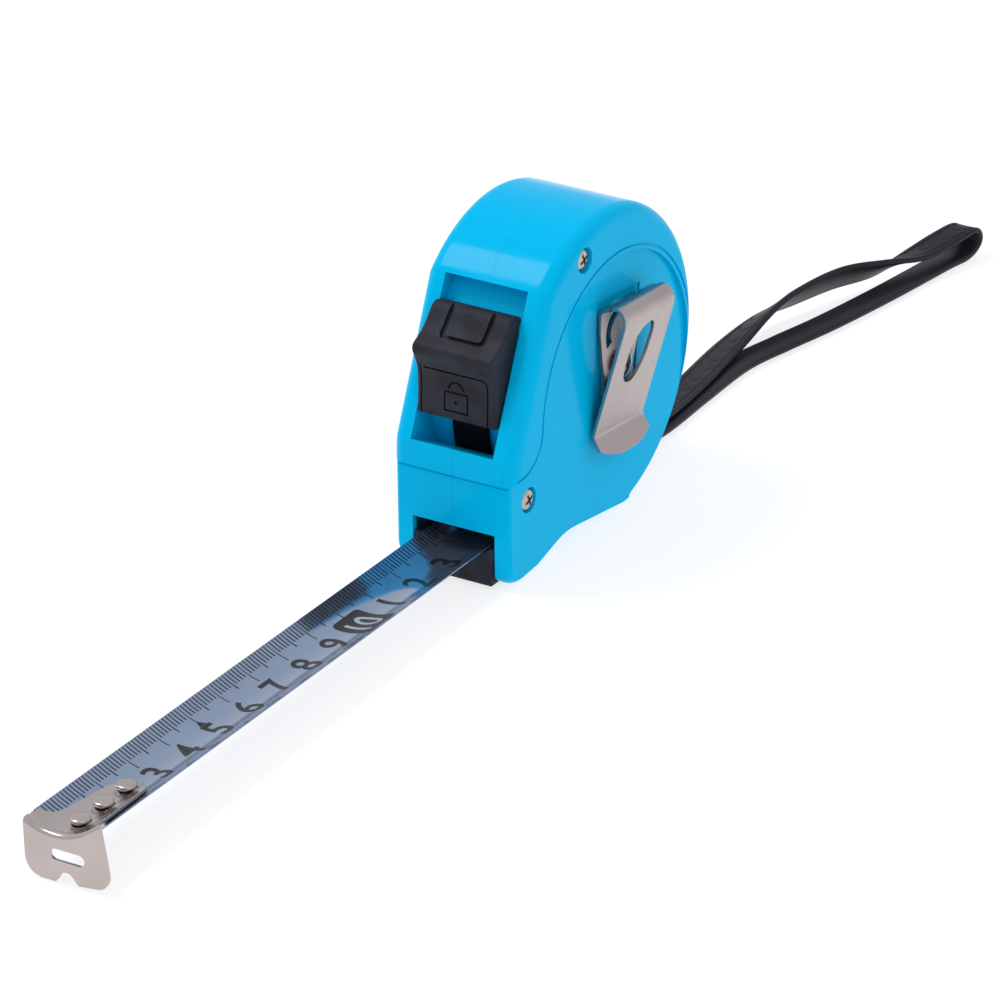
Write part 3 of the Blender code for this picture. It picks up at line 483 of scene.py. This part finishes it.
def case_body():
    """The case as a loft along x whose rims are rounded over."""
    steps = 8
    turns = [math.pi / 2 * i / steps for i in range(steps + 1)]
    profile = [(RIM_HALF - EDGE_R * (1 - math.cos(a)), EDGE_R * (1 - math.sin(a))) for a in turns]
    stations = [(-x, inset) for x, inset in profile] + list(reversed(profile))
    bm = bmesh.new()
    rings = [[bm.verts.new((x, y, z)) for y, z in case_outline(inset)] for x, inset in stations]
    count = len(rings[0])
    for one, two in zip(rings, rings[1:]):
        for k in range(count):
            n = (k + 1) % count
            bm.faces.new((one[k], one[n], two[n], two[k]))
    bm.faces.new(rings[0])
    bm.faces.new(list(reversed(rings[-1])))
    return from_bmesh("shell", bm)


def window_cutter(grow=0.0):
    """The hollow of the button's window, with a floor round the drum's axis."""
    slope = math.atan2(WINDOW_HIGH[1] - WINDOW_LOW[1], WINDOW_HIGH[0] - WINDOW_LOW[0])
    along = Vector((math.cos(slope), math.sin(slope)))
    out = Vector((-math.sin(slope), math.cos(slope)))
    low = Vector(WINDOW_LOW) - along * grow
    high = Vector(WINDOW_HIGH) + along * grow
    floor = FLOOR_R - grow
    axis = Vector((DRUM_Y, 0.0))

    def floor_angle(point):
        side = (point - axis).dot(along)
        foot = side * along + math.sqrt(floor ** 2 - side ** 2) * out
        return math.degrees(math.atan2(foot.y, foot.x)) % 360

    line = arc(axis, floor, floor_angle(low), floor_angle(high), 24)
    line += [tuple(high + out * 9.0), tuple(low + out * 9.0)]
    half = WINDOW_HALF + grow
    return slab("window", line, -half, half)


def side_recess(low, high, inset=0.0, past=0.0):
    """The sunk disc of each side, running into the sunk nose through a fillet."""
    y, z, radius = DISC
    radius -= inset
    step_z = STEP_Z - inset
    fillet = DISC_FILLET + inset
    centre = (y - math.sqrt((radius + fillet) ** 2 - (step_z + fillet - z) ** 2), step_z + fillet)
    meet = math.degrees(math.atan2(centre[1] - z, centre[0] - y))
    line = arc((y, z), radius, -80, meet, 120)
    line += arc(centre, fillet, meet - 180, -90, 20)[1:]
    line += [(NOSE_Y - 3 - past, step_z), (NOSE_Y - 3 - past, BASE_Z - 4 - past)]
    line += [(y + 6, BASE_Z - 4 - past)]
    return slab("recess", line, low, high)


def rim_groove(low, high):
    """The fine groove in the rim that follows the step round the sunk disc."""
    near, far = RIM_GROOVE
    groove = side_recess(low, high, -far)
    return cut(groove, side_recess(low - 1, high + 1, -near, 1.0))


def build_case():
    # outside: side recess, rim groove, nose, window, mouth, screw seats and clip pocket
    shell = case_body()
    cut(shell, side_recess(BODY_HALF, RIM_HALF + 2), side_recess(-RIM_HALF - 2, -BODY_HALF))
    deep = RIM_HALF - RIM_GROOVE_DEPTH
    cut(shell, rim_groove(deep, RIM_HALF + 2), rim_groove(-RIM_HALF - 2, -deep))
    cut(shell, block("step", (-20, NOSE_Y - 2, BASE_Z - 2), (20, NOSE_Y + NOSE_STEP, STEP_Z)))
    cut(shell, block("crease", (-20, NOSE_Y - 2, STEP_Z - CREASE), (20, NOSE_Y + CREASE, STEP_Z)))
    cut(shell, window_cutter())
    mouth = block("mouth", (-WINDOW_HALF, NOSE_Y - 3, BASE_Z - 2),
                  (WINDOW_HALF, NOSE_Y + 3.4, MOUTH_TOP_Z))
    cut(shell, mouth)
    for y, z, face in SCREWS.values():
        cut(shell, rod("head", y, z, SCREW_SEAT_R, face - SCREW_SEAT_DEPTH, 20))
    pocket_half = CLIP_HALF - 1.2
    pocket = block("pocket", (12.8, CLIP_Y - pocket_half, -10.4), (20, CLIP_Y + pocket_half, 14.4))
    cut(shell, turn_about_x(pocket, CLIP_TURN_DEG, DRUM_Y))
    rounded(shell, 0.28, 2, 38.0)

    # inside: cavity, slider slot, throat, channel for the rivets' tails, strap slot, hub bore
    slot = arc((DRUM_Y, 0), SLIDER_R[0] - 0.4, 168, 200, 16)
    slot += arc((DRUM_Y, 0), SLIDER_R[1] + 0.3, 200, 168, 16)
    cavity = slab("cavity", case_outline(RIM_WALL), -RIM_HALF + SIDE_WALL, RIM_HALF - SIDE_WALL)
    cut(cavity, window_cutter(WINDOW_WALL))
    cut(shell, cavity)
    cut(shell, slab("slot", slot, -4.2, 4.2))
    throat = block("throat", (-WINDOW_HALF, NOSE_Y - 3, BASE_Z - 2),
                   (WINDOW_HALF, NOSE_Y + 8.5, MOUTH_TOP_Z - 0.02))
    cut(shell, throat)
    cut(shell, block("groove", (TAILS[0], NOSE_Y + 8, TAILS_Z), (TAILS[1], -14.0, BLADE_EDGE_Z)))
    strap_slot = block("strap_slot", (-4.0, 30.6, -3.0), (4.0, 40.0, 3.0))
    cut(shell, turn_about_x(strap_slot, -44.0, 0.0))
    cut(shell, rod("bore", DRUM_Y, 0, 1.9, 0, 20))

    # the two halves meet at the centre seam
    right = link("shell_right", shell.data.copy())
    cut(shell, block("half", (-SEAM_HALF, -BEYOND, -BEYOND), (BEYOND, BEYOND, BEYOND)))
    cut(right, block("half", (-BEYOND, -BEYOND, -BEYOND), (SEAM_HALF, BEYOND, BEYOND)))
    shell.name = "shell_left"
    settle(shell, "case", BLUE, "blue_plastic", "case_left", smooth=50, weighted=True)
    settle(right, "case", BLUE, "blue_plastic", "case_right", smooth=50, weighted=True)


def build_guard():
    """The black lip and foot under the mouth, hollowed for the cupped blade."""
    line = [(NOSE_Y - 0.4, BASE_Z), (NOSE_Y - 0.4, BASE_Z + 0.8), (NOSE_Y + 0.5, BLADE_EDGE_Z),
            (NOSE_Y + 8.2, BLADE_EDGE_Z), (NOSE_Y + 8.2, BASE_Z + 0.3), (NOSE_Y + 7.0, BASE_Z)]
    guard = slab("mouth_lip", line, -9.1, 9.1)
    trough_r = CUP_R + 0.45
    trough = slab("trough", arc((0, CUP_AXIS_Z), trough_r, 0, 360, 96)[:-1], -BEYOND, 0, "Y")
    tails = block("tails", (TAILS[0], NOSE_Y - 3, TAILS_Z), (TAILS[1], NOSE_Y + 12, -24.6))
    cut(guard, trough, tails)
    rounded(guard, 0.3, 2)
    settle(guard, "case", BLACK, "black_plastic", "mouth_guard", smooth=50, weighted=True)


# ---------------------------------------------------------------- lock button

def build_button():
    """The thumb button and, below it, the curved slider."""
    axis = (DRUM_Y, 0)
    line = arc(axis, SLIDER_R[1] + 0.3, 145.5, 178.6, 16)
    line += smooth_path([
        (-33.6, -0.7), (-34.3, -0.6), (-34.45, 0.6), (-34.3, 3.0), (-34.15, 5.8),
        (-34.3, 8.1), (-34.8, 10.1), (-35.5, 11.6), (-36.1, 12.8), (-36.25, 13.7),
        (-36.0, 14.5), (-35.2, 15.05), (-33.2, 15.9), (-31.9, 16.8), (-30.8, 17.8),
        (-29.4, 19.4), (-28.6, 20.2), (-27.8, 20.6), (-27.0, 20.65), (-25.4, 20.2)], 1.2, 2)
    button = slab("lock_thumb", line, -BUTTON_HALF, BUTTON_HALF)
    rounded(button, 0.6, 3, 60.0)
    # U-shaped groove that frames a tab on the upper slope, open towards the top
    left, right, wide = -4.9, 5.6, 1.15
    outer = [(left, 14.0), (left, 1.4)] + arc((left + 1.4, 1.4), 1.4, 180, 270, 6)
    outer += arc((right - 1.4, 1.5), 1.4, 270, 360, 6) + [(right, 14.0)]
    inner = [(right - wide, 14.0), (right - wide, 1.7)]
    inner += arc((right - wide - 0.8, 1.7), 0.8, 0, -90, 4)
    inner += arc((left + wide + 0.8, 1.7), 0.8, 270, 180, 4) + [(left + wide, 14.0)]
    groove = slab("groove", outer + inner, -0.8, 3.5, "Z")
    slope = math.radians(43.0)
    groove.data.transform(Matrix.Translation((0, -33.3, 15.7)) @ Matrix.Rotation(slope, 4, "X"))
    cut(button, groove)
    # framed panel on the lower face, with an engraved padlock
    stand = Matrix.Translation((0, -34.28, 4.5)) @ Matrix.Rotation(math.pi / 2, 4, "X")
    frame_line = [(-7.3, 5.2), (5.9, 5.2)] + arc((5.9, 3.9), 1.3, 90, 0, 6) + [(7.2, -6.0)]
    frame_line += [(6.8, -6.0)] + arc((5.9, 3.9), 0.9, 0, 90, 6) + [(-7.3, 4.8)]
    marks = [slab("frame", frame_line, -0.4, 1.6, "Z")]
    side_line = [(-8.25, -6.0), (-8.25, 5.5), (-7.95, 5.5), (-7.95, -6.0)]
    marks.append(slab("side_line", side_line, -0.4, 1.6, "Z"))
    body = [(-3.0, -3.4), (2.6, -3.4), (2.6, 0.9), (-3.0, 0.9)]
    core = [(-2.6, -3.0), (2.2, -3.0), (2.2, 0.5), (-2.6, 0.5)]
    marks.append(slab("lock_body", body, -0.45, 1.6, "Z"))
    cut(marks[-1], slab("lock_core", core, -1.0, 2.0, "Z"))
    bow = arc((-0.2, 1.4), 1.8, 0, 180, 14) + arc((-0.2, 1.4), 1.4, 180, 0, 14)
    marks.append(slab("lock_bow", bow, -0.6, 1.6, "Z"))
    marks.append(slab("lock_key", arc((-0.2, -1.25), 0.45, 0, 360, 16)[:-1], -0.3, 1.6, "Z"))
    for mark in marks:
        mark.data.transform(stand)
        cut(button, mark)
    settle(button, "lock", BLACK, "black_plastic", "lock_button", smooth=40, weighted=True)

    slider_line = arc(axis, SLIDER_R[0], 147, 215.8, 60)
    slider_line += arc(axis, SLIDER_R[1], 215.8, 147, 60)
    slider = slab("lock_tongue", slider_line, -3.9, 3.9)
    rounded(slider, 0.15, 2)
    # painted shade: the slider, the same black plastic as the button, gets the darkened copy
    settle(slider, "lock", SHADED_BLACK, "black_plastic", "lock_slider", smooth=50, weighted=True)


# ---------------------------------------------------------------- blade and scale

def blade_z(x, lift=0.0):
    return BLADE_EDGE_Z - BLADE_SAG * (1 - (x / BLADE_HALF) ** 2) + lift


BLADE_START_Y = HOOK_Y + 0.4
BLADE_SPAN = BLADE_END_Y - BLADE_START_Y
WRAP_STEP = 0.5
INK_LIFT = 0.13
BOX_LIFT = 0.125
PALE_LIFT = 0.15
TICK_START_X = -7.3
DIGIT_H = 6.4
DIGIT_X = 1.9


def draw_in(obj):
    """Give the piece a mesh of its own."""
    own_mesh(obj)


def over_blade(bm, lift):
    """Wrap a flat drawing of (x, y) on to the blade's cupped upper face."""
    low = -BLADE_HALF
    while low < BLADE_HALF:
        low += WRAP_STEP
        geometry = list(bm.verts) + list(bm.edges) + list(bm.faces)
        bmesh.ops.bisect_plane(bm, geom=geometry, plane_co=(low, 0, 0), plane_no=(1, 0, 0))
    for vert in bm.verts:
        vert.co.z = blade_z(vert.co.x, lift)
    for face in bm.faces:
        face.normal_update()
        if face.normal.z < 0:
            face.normal_flip()


def digit_mesh(text, height, x, y, widen=1.0):
    """A numeral with its head towards the scale's edge, centred at (x, y)."""
    curve = bpy.data.curves.new("numeral", "FONT")
    curve.body = text
    curve.size = 1.0
    curve.resolution_u = 8
    curve.offset = 0.014
    obj = link("numeral", curve)
    bpy.context.view_layer.update()
    made = bpy.data.meshes.new_from_object(obj.evaluated_get(bpy.context.evaluated_depsgraph_get()))
    us = [v.co.x for v in made.vertices]
    vs = [v.co.y for v in made.vertices]
    size = height / (max(vs) - min(vs))
    for vert in made.vertices:
        u = (vert.co.x - (max(us) + min(us)) / 2) * size * widen
        v = (vert.co.y - (max(vs) + min(vs)) / 2) * size
        vert.co = (x - v, y + u, 0)
    bpy.data.objects.remove(obj, do_unlink=True)
    return made


def flat(bm, corners):
    bm.faces.new([bm.verts.new((x, y, 0)) for x, y in corners])


def print_on_blade(name, bm, look, slot, lift=INK_LIFT):
    over_blade(bm, lift)
    obj = from_bmesh(name, bm, False)
    settle(obj, "case", look, slot)
    draw_in(obj)


def build_blade():
    rows = []
    for i in range(71):
        y = BLADE_START_Y + BLADE_SPAN * i / 70
        half = BLADE_HALF - max(0.0, 1.3 - 0.5 * BLADE_SPAN * i / 70)
        xs = [half * (2 * j / 28 - 1) for j in range(29)]
        rows.append([(x, y, blade_z(x)) for x in xs])
    ribbon = sheet("blade_ribbon", rows, BLADE_T)
    settle(ribbon, "case", BLADE, "blade_steel", "blade_extended")
    draw_in(ribbon)

    ink = bmesh.new()
    for mm in range(2, 139):
        y = HOOK_Y + mm
        end = -2.1 if mm % 10 == 0 else (-3.4 if mm % 5 == 0 else -4.5)
        half = 0.11 if mm % 10 == 0 else 0.15
        flat(ink, [(TICK_START_X, y - half), (end, y - half), (end, y + half),
                   (TICK_START_X, y + half)])
    y = HOOK_Y + 50
    flat(ink, [(-3.1, y), (-1.4, y - 1.0), (-1.4, y + 1.0)])
    for cm in (3, 4, 5, 6, 7, 8, 9, 11, 12, 13):
        ink.from_mesh(digit_mesh(str(cm % 10), DIGIT_H, DIGIT_X, HOOK_Y + 10 * cm))
    print_on_blade("scale_marks", ink, INK, "black_plastic")

    # the ten is pale in a dark box with round corners
    box = bmesh.new()
    y = HOOK_Y + 100
    corners = []
    for (cx, cy), start in (((5.4, y + 3.4), 0), ((-1.4, y + 3.4), 90), ((-1.4, y - 3.4), 180),
                            ((5.4, y - 3.4), 270)):
        corners += arc((cx, cy), 1.2, start, start + 90, 6)
    flat(box, corners)
    print_on_blade("ten_box", box, INK, "black_plastic", BOX_LIFT)
    ten = bmesh.new()
    ten.from_mesh(digit_mesh("10", 6.2, 2.3, y, 0.86))
    print_on_blade("ten_numeral", ten, PALE_INK, "blade_steel", PALE_LIFT)


# ---------------------------------------------------------------- hook

HOOK_T = 0.9
TONGUE_T = 0.6
HOOK_X = 3.0
HOOK_HALF = 9.5
HOOK_BOTTOM_Z = -35.8
RIVET_X = 1.5
RIVET_STEPS = (5.8, 13.2, 20.6)


def build_hook():
    """The end hook, bent from one plate, with its tongue on the blade and three rivets."""
    under = CUP_R - BLADE_T / 2 - 0.3
    bend_r = 0.95
    columns = 44
    left_x = HOOK_X - HOOK_HALF
    right_x = HOOK_X + HOOK_HALF
    front = HOOK_Y - HOOK_T

    def height(x):
        reach = min(abs(x), under * math.sin(math.radians(36.0)))
        edge = math.sqrt(under ** 2 - reach ** 2)
        return CUP_AXIS_Z - edge + (abs(x) - reach) * reach / edge + TONGUE_T

    xs = [HOOK_X + HOOK_HALF * (2 * j / columns - 1) for j in range(columns + 1)]
    # the bend stands proud of the tongue as a low ridge
    ridge_h = 0.65
    ridge = ((24, 0.0), (12, 0.0), (4, 0.0), (2.4, 0.0), (1.8, 0.08), (1.3, 0.28), (0.8, 0.52),
             (0.4, 0.62))
    rows = [[(x, HOOK_Y + y, height(x) + lift) for x in xs] for y, lift in ridge]
    for k in range(9):
        turn = math.pi / 2 * k / 8
        y = front + bend_r - bend_r * math.sin(turn)
        rows.append([(x, y, height(x) + ridge_h - bend_r * (1 - math.cos(turn))) for x in xs])
    rows.append([(x, front, HOOK_BOTTOM_Z) for x in xs])
    hook = sheet("hook_plate", rows, TONGUE_T, 1.0)
    left = [(-12, 3.9), (-6.9, 4.3), (-5.4, 5.0), (-4.4, 6.0), (-3.7, 7.6), (-3.4, 10.0),
            (-2.7, 17.5), (-2.2, 20.4), (-1.3, 22.7), (-0.5, 23.6), (0.6, 24.1), (0.6, 27),
            (-12, 27)]
    right = [(14, 0.8), (10.9, 0.8), (8.2, 1.6), (6.8, 3.0), (6.2, 5.4), (5.9, 12.0),
             (5.7, 18.0), (5.2, 21.0), (4.2, 23.0), (3.3, 23.8), (2.2, 24.1), (2.2, 27), (14, 27)]
    for outline in (left, right):
        cut(hook, slab("trim", [(x, HOOK_Y + s) for x, s in outline], -40, -15, "Z"))
    low = HOOK_BOTTOM_Z
    top = low + 16
    edge = [(left_x - 1, low - 1), (left_x - 1, top), (left_x, top), (left_x + 0.3, low + 3.6)]
    edge += [(left_x + 0.5, low + 2.6), (left_x + 0.9, low + 1.7), (left_x + 1.5, low + 0.95)]
    edge += [(left_x + 2.3, low + 0.4), (left_x + 3.6, low), (left_x + 3.6, low - 1)]
    back = front + HOOK_T + 0.8
    cut(hook, slab("edge", edge, front - 1, back, "Y"))
    edge = [(right_x + 1, low - 1), (right_x + 1, top), (right_x - 2.2, top)]
    edge += [(right_x - 0.3, low + 4.4), (right_x - 0.3, low + 3.3), (right_x - 0.7, low + 2.3)]
    edge += [(right_x - 1.4, low + 1.4), (right_x - 2.4, low + 0.9), (2.5, low + 0.02)]
    edge += [(2.5, low - 1)]
    cut(hook, slab("edge", edge, front - 1, back, "Y"))
    notch = [(-0.2, low - 1), (0.5, low + 0.15), (0.95, low + 0.6), (1.3, low + 1.3),
             (1.7, low + 1.9), (2.2, low + 2.3), (3.0, low + 2.4), (3.7, low + 2.2),
             (4.3, low + 1.7), (5.0, low + 0.8), (5.5, low + 0.35), (6.3, low - 1)]
    cut(hook, slab("notch", notch, front - 1, front + HOOK_T, "Y"))
    slot_z = low + 5.6
    slot = arc((5.8, slot_z), 1.15, -90, 90, 14) + arc((0.6, slot_z), 1.15, 90, 270, 14)
    cut(hook, slab("slot", slot, front - 1, front + HOOK_T, "Y"))
    for step in RIVET_STEPS:
        y = HOOK_Y + step
        hole = arc((RIVET_X, y + HOOK_T), 1.65, 0, 180, 14) + arc((RIVET_X, y), 1.65, 180, 360, 14)
        cut(hook, slab("hole", hole, -40, -15, "Z"))
    rounded(hook, 0.14, 2, 50.0)
    settle(hook, "hook", NICKEL, "bright_steel", "end_hook", smooth=35)

    bottom = CUP_AXIS_Z - math.sqrt(CUP_R ** 2 - RIVET_X ** 2)
    top = bottom + BLADE_T / 2 + 0.6 + TONGUE_T
    for number, step in enumerate(RIVET_STEPS, 1):
        profile = [(0.0, bottom - 1.1), (1.5, bottom - 1.1), (1.8, bottom - 0.95),
                   (1.9, bottom - 0.6), (1.35, bottom - 0.5), (1.35, top - 0.1),
                   (1.42, top + 0.1), (1.38, top + 0.4), (1.95, top + 0.5),
                   (2.05, top + 0.62), (2.05, top + 0.9), (1.98, top + 1.06),
                   (1.8, top + 1.18), (1.2, top + 1.25), (0.0, top + 1.27)]
        rivet = turned(f"rivet_{number}", profile, (RIVET_X, HOOK_Y + step, 0), "Z", 56)
        settle(rivet, "blade_end", NICKEL, "bright_steel", f"hook_rivet_{number}", smooth=50)


# ---------------------------------------------------------------- belt clip and screws

CLIP_T = 0.8


def build_clip():
    """The belt clip: a base plate against the case and the leaf that springs from its bend."""
    back_x = 13.5
    base_path = [(back_x, -9.0), (back_x, 11.6), (back_x + 0.25, 12.6), (back_x + 1.1, 13.3),
                 (back_x + 2.1, 13.75), (back_x + 3.1, 14.15)]
    leaf_path = [(back_x + 3.43, 14.28), (back_x + 4.4, 14.65), (18.9, 14.4), (19.7, 13.7),
                 (20.2, 12.5), (20.15, 11.4), (14.15, -12.9), (14.4, -13.6), (16.95, -17.7)]

    def strip(name, path):
        path = smooth_path(path, 1.0, 5)
        rows = [[(x, CLIP_Y + CLIP_HALF * (2 * j / 10 - 1), z) for j in range(11)] for x, z in path]
        return sheet(name, rows, CLIP_T)

    base = strip("clip_base", base_path)
    leaf = strip("clip_leaf_plate", leaf_path)
    cut(base, rod("hole", DRUM_Y, 0, 1.7, 10, 16))
    window = arc((CLIP_Y, 7.0), 5.6, -30, 210, 30) + arc((CLIP_Y, 7.0), 3.6, 210, -30, 30)
    cut(base, slab("window", window, 10, 17.5))
    for side in (-1, 1):
        edge = CLIP_Y + side * CLIP_HALF
        waist = [(edge + side, -12), (edge + side, 14.1), (edge, 14.1), (edge - side * 0.5, 13.3),
                 (edge - side * 1.5, 12.6), (edge - side * 1.7, 8), (edge - side * 2.6, 3.4),
                 (edge - side * 3.9, -1.5), (edge - side * 4.1, -6), (edge - side * 5.2, -9),
                 (edge - side * 5.2, -12)]
        cut(base, slab("waist", waist, 11, 18))
    shape = [(1.7, -2.9), (3.3, -3.1), (4.8, -2.2), (6.0, -0.6), (6.8, 1.6), (7.2, 4.4),
             (7.3, 7.2), (6.9, 8.6), (5.9, 9.7), (4.3, 9.8), (2.7, 9.4), (1.2, 8.3),
             (-0.3, 6.5), (-0.8, 4.3), (-0.8, 1.6), (-0.3, -1.1), (0.5, -2.2)]
    shape = smooth_path(shape + shape[:2], 0.9, 3)[1:-1]
    cut(leaf, slab("slot", shape, 14.2, 22.5))
    # the foot ends in a wide arc between two corners
    foot_r, corner_z = 24.0, -15.8
    spread = math.degrees(math.asin(CLIP_HALF / foot_r))
    foot = [(CLIP_Y - CLIP_HALF - 1, corner_z), (CLIP_Y - CLIP_HALF - 1, -20),
            (CLIP_Y + CLIP_HALF + 1, -20), (CLIP_Y + CLIP_HALF + 1, corner_z)]
    centre_z = corner_z + foot_r * math.cos(math.radians(spread))
    foot += arc((CLIP_Y, centre_z), foot_r, 270 + spread, 270 - spread, 40)
    cut(leaf, slab("foot", foot, 13.9, 22))
    for piece in (base, leaf):
        turn_about_x(piece, CLIP_TURN_DEG, DRUM_Y)
        rounded(piece, 0.16, 2, 45.0)
    settle(base, "case", CLIP_STEEL, "brushed_steel", "belt_clip_base", smooth=50, weighted=True)
    settle(leaf, "clip_leaf", CLIP_STEEL, "brushed_steel", "belt_clip_leaf", smooth=50,
           weighted=True)


DOME_H = 0.75
RECESS_HALF = (0.33, 1.3)


def build_screw(name, y, z, face, shank_end, head_r, shank_r, turn):
    """A domed screw along x with a cross recess turned by some degrees."""
    dome = [(head_r * math.cos(a), face - DOME_H + DOME_H * math.sin(a))
            for a in (math.radians(v) for v in (0, 20, 40, 60, 75))]
    profile = [(0.0, shank_end), (shank_r, shank_end), (shank_r, face - 1.0),
               (head_r - 0.1, face - 1.0), (head_r, face - 0.9)] + dome + [(0.0, face)]
    screw = turned("head_" + name, profile, (0, y, z), "X", 56)
    for degrees in (turn, turn + 90):
        across, along = RECESS_HALF
        bar = block("bar", (face - DOME_H, -across, -along), (face + 1, across, along))
        bar.data.transform(Matrix.Translation((0, y, z))
                           @ Matrix.Rotation(math.radians(degrees), 4, "X"))
        cut(screw, bar)
    settle(screw, "case", NICKEL, "bright_steel", name, smooth=40)


# ---------------------------------------------------------------- stage

FLOOR_SIZE = 6.0
FLOOR_Z = -0.0004
FLOOR_GLOW = 0.76
SKY = (0.93, 0.96, 1.0, 1)
SKY_STRENGTH = 0.8


def build_stage():
    """A pale floor, an even sky and two softboxes."""
    floor = bpy.data.meshes.new("floor")
    bm = bmesh.new()
    bmesh.ops.create_grid(bm, x_segments=1, y_segments=1, size=FLOOR_SIZE)
    bmesh.ops.translate(bm, vec=(0, 0, FLOOR_Z), verts=bm.verts)
    bm.to_mesh(floor)
    bm.free()
    obj = link("floor", floor)
    look = bpy.data.materials.new("pale_floor")
    look.use_nodes = True
    shader = look.node_tree.nodes["Principled BSDF"]
    shader.inputs["Base Color"].default_value = (0.3, 0.3, 0.3, 1)
    shader.inputs["Roughness"].default_value = 0.9
    shader.inputs["Specular IOR Level"].default_value = 0.1
    shader.inputs["Emission Color"].default_value = (1, 1, 1, 1)
    shader.inputs["Emission Strength"].default_value = FLOOR_GLOW
    floor.materials.append(look)

    world = bpy.data.worlds.new("studio")
    bpy.context.scene.world = world
    world.use_nodes = True
    backdrop = world.node_tree.nodes["Background"]
    backdrop.inputs["Color"].default_value = SKY
    backdrop.inputs["Strength"].default_value = SKY_STRENGTH

    def softbox(name, place, aim, size, power):
        light = bpy.data.lights.new(name, "AREA")
        light.shape = "RECTANGLE"
        light.size, light.size_y = size
        light.energy = power
        obj = bpy.data.objects.new(name, light)
        bpy.context.scene.collection.objects.link(obj)
        obj.location = place
        way = Vector(aim) - Vector(place)
        obj.rotation_euler = way.to_track_quat("-Z", "Y").to_euler()

    hub = tuple(ORIGIN)
    softbox("key", (-0.46, -0.07, 0.84), hub, (0.24, 0.30), 3.3)
    softbox("fill", (0.9, -0.5, 0.7), hub, (0.7, 0.7), 1.0)
    bpy.context.scene.view_settings.view_transform = "Standard"


# ---------------------------------------------------------------- assembly

make_camera()
build_strap()
build_case()
build_guard()
build_button()
build_blade()
build_hook()
build_clip()
for screw_name, (screw_y, screw_z, screw_face) in SCREWS.items():
    build_screw(screw_name, screw_y, screw_z, screw_face, -9.0, 2.3, 1.1, 22.0)
build_screw("hub_screw", DRUM_Y, 0.0, 15.8, 4.0, 2.9, 1.4, 10.0)
build_stage()

CARRIED = {"blade_feed": BLADE, "blade_coil": BLADE, "brake_pad": STRAP, "drum": NYLON,
           "drum_cover": NYLON, "spring_post": NYLON, "mainspring": STEEL, "strap_pin": NICKEL}
for name, look in CARRIED.items():
    for slot in NODES[name].material_slots:
        slot.material = look
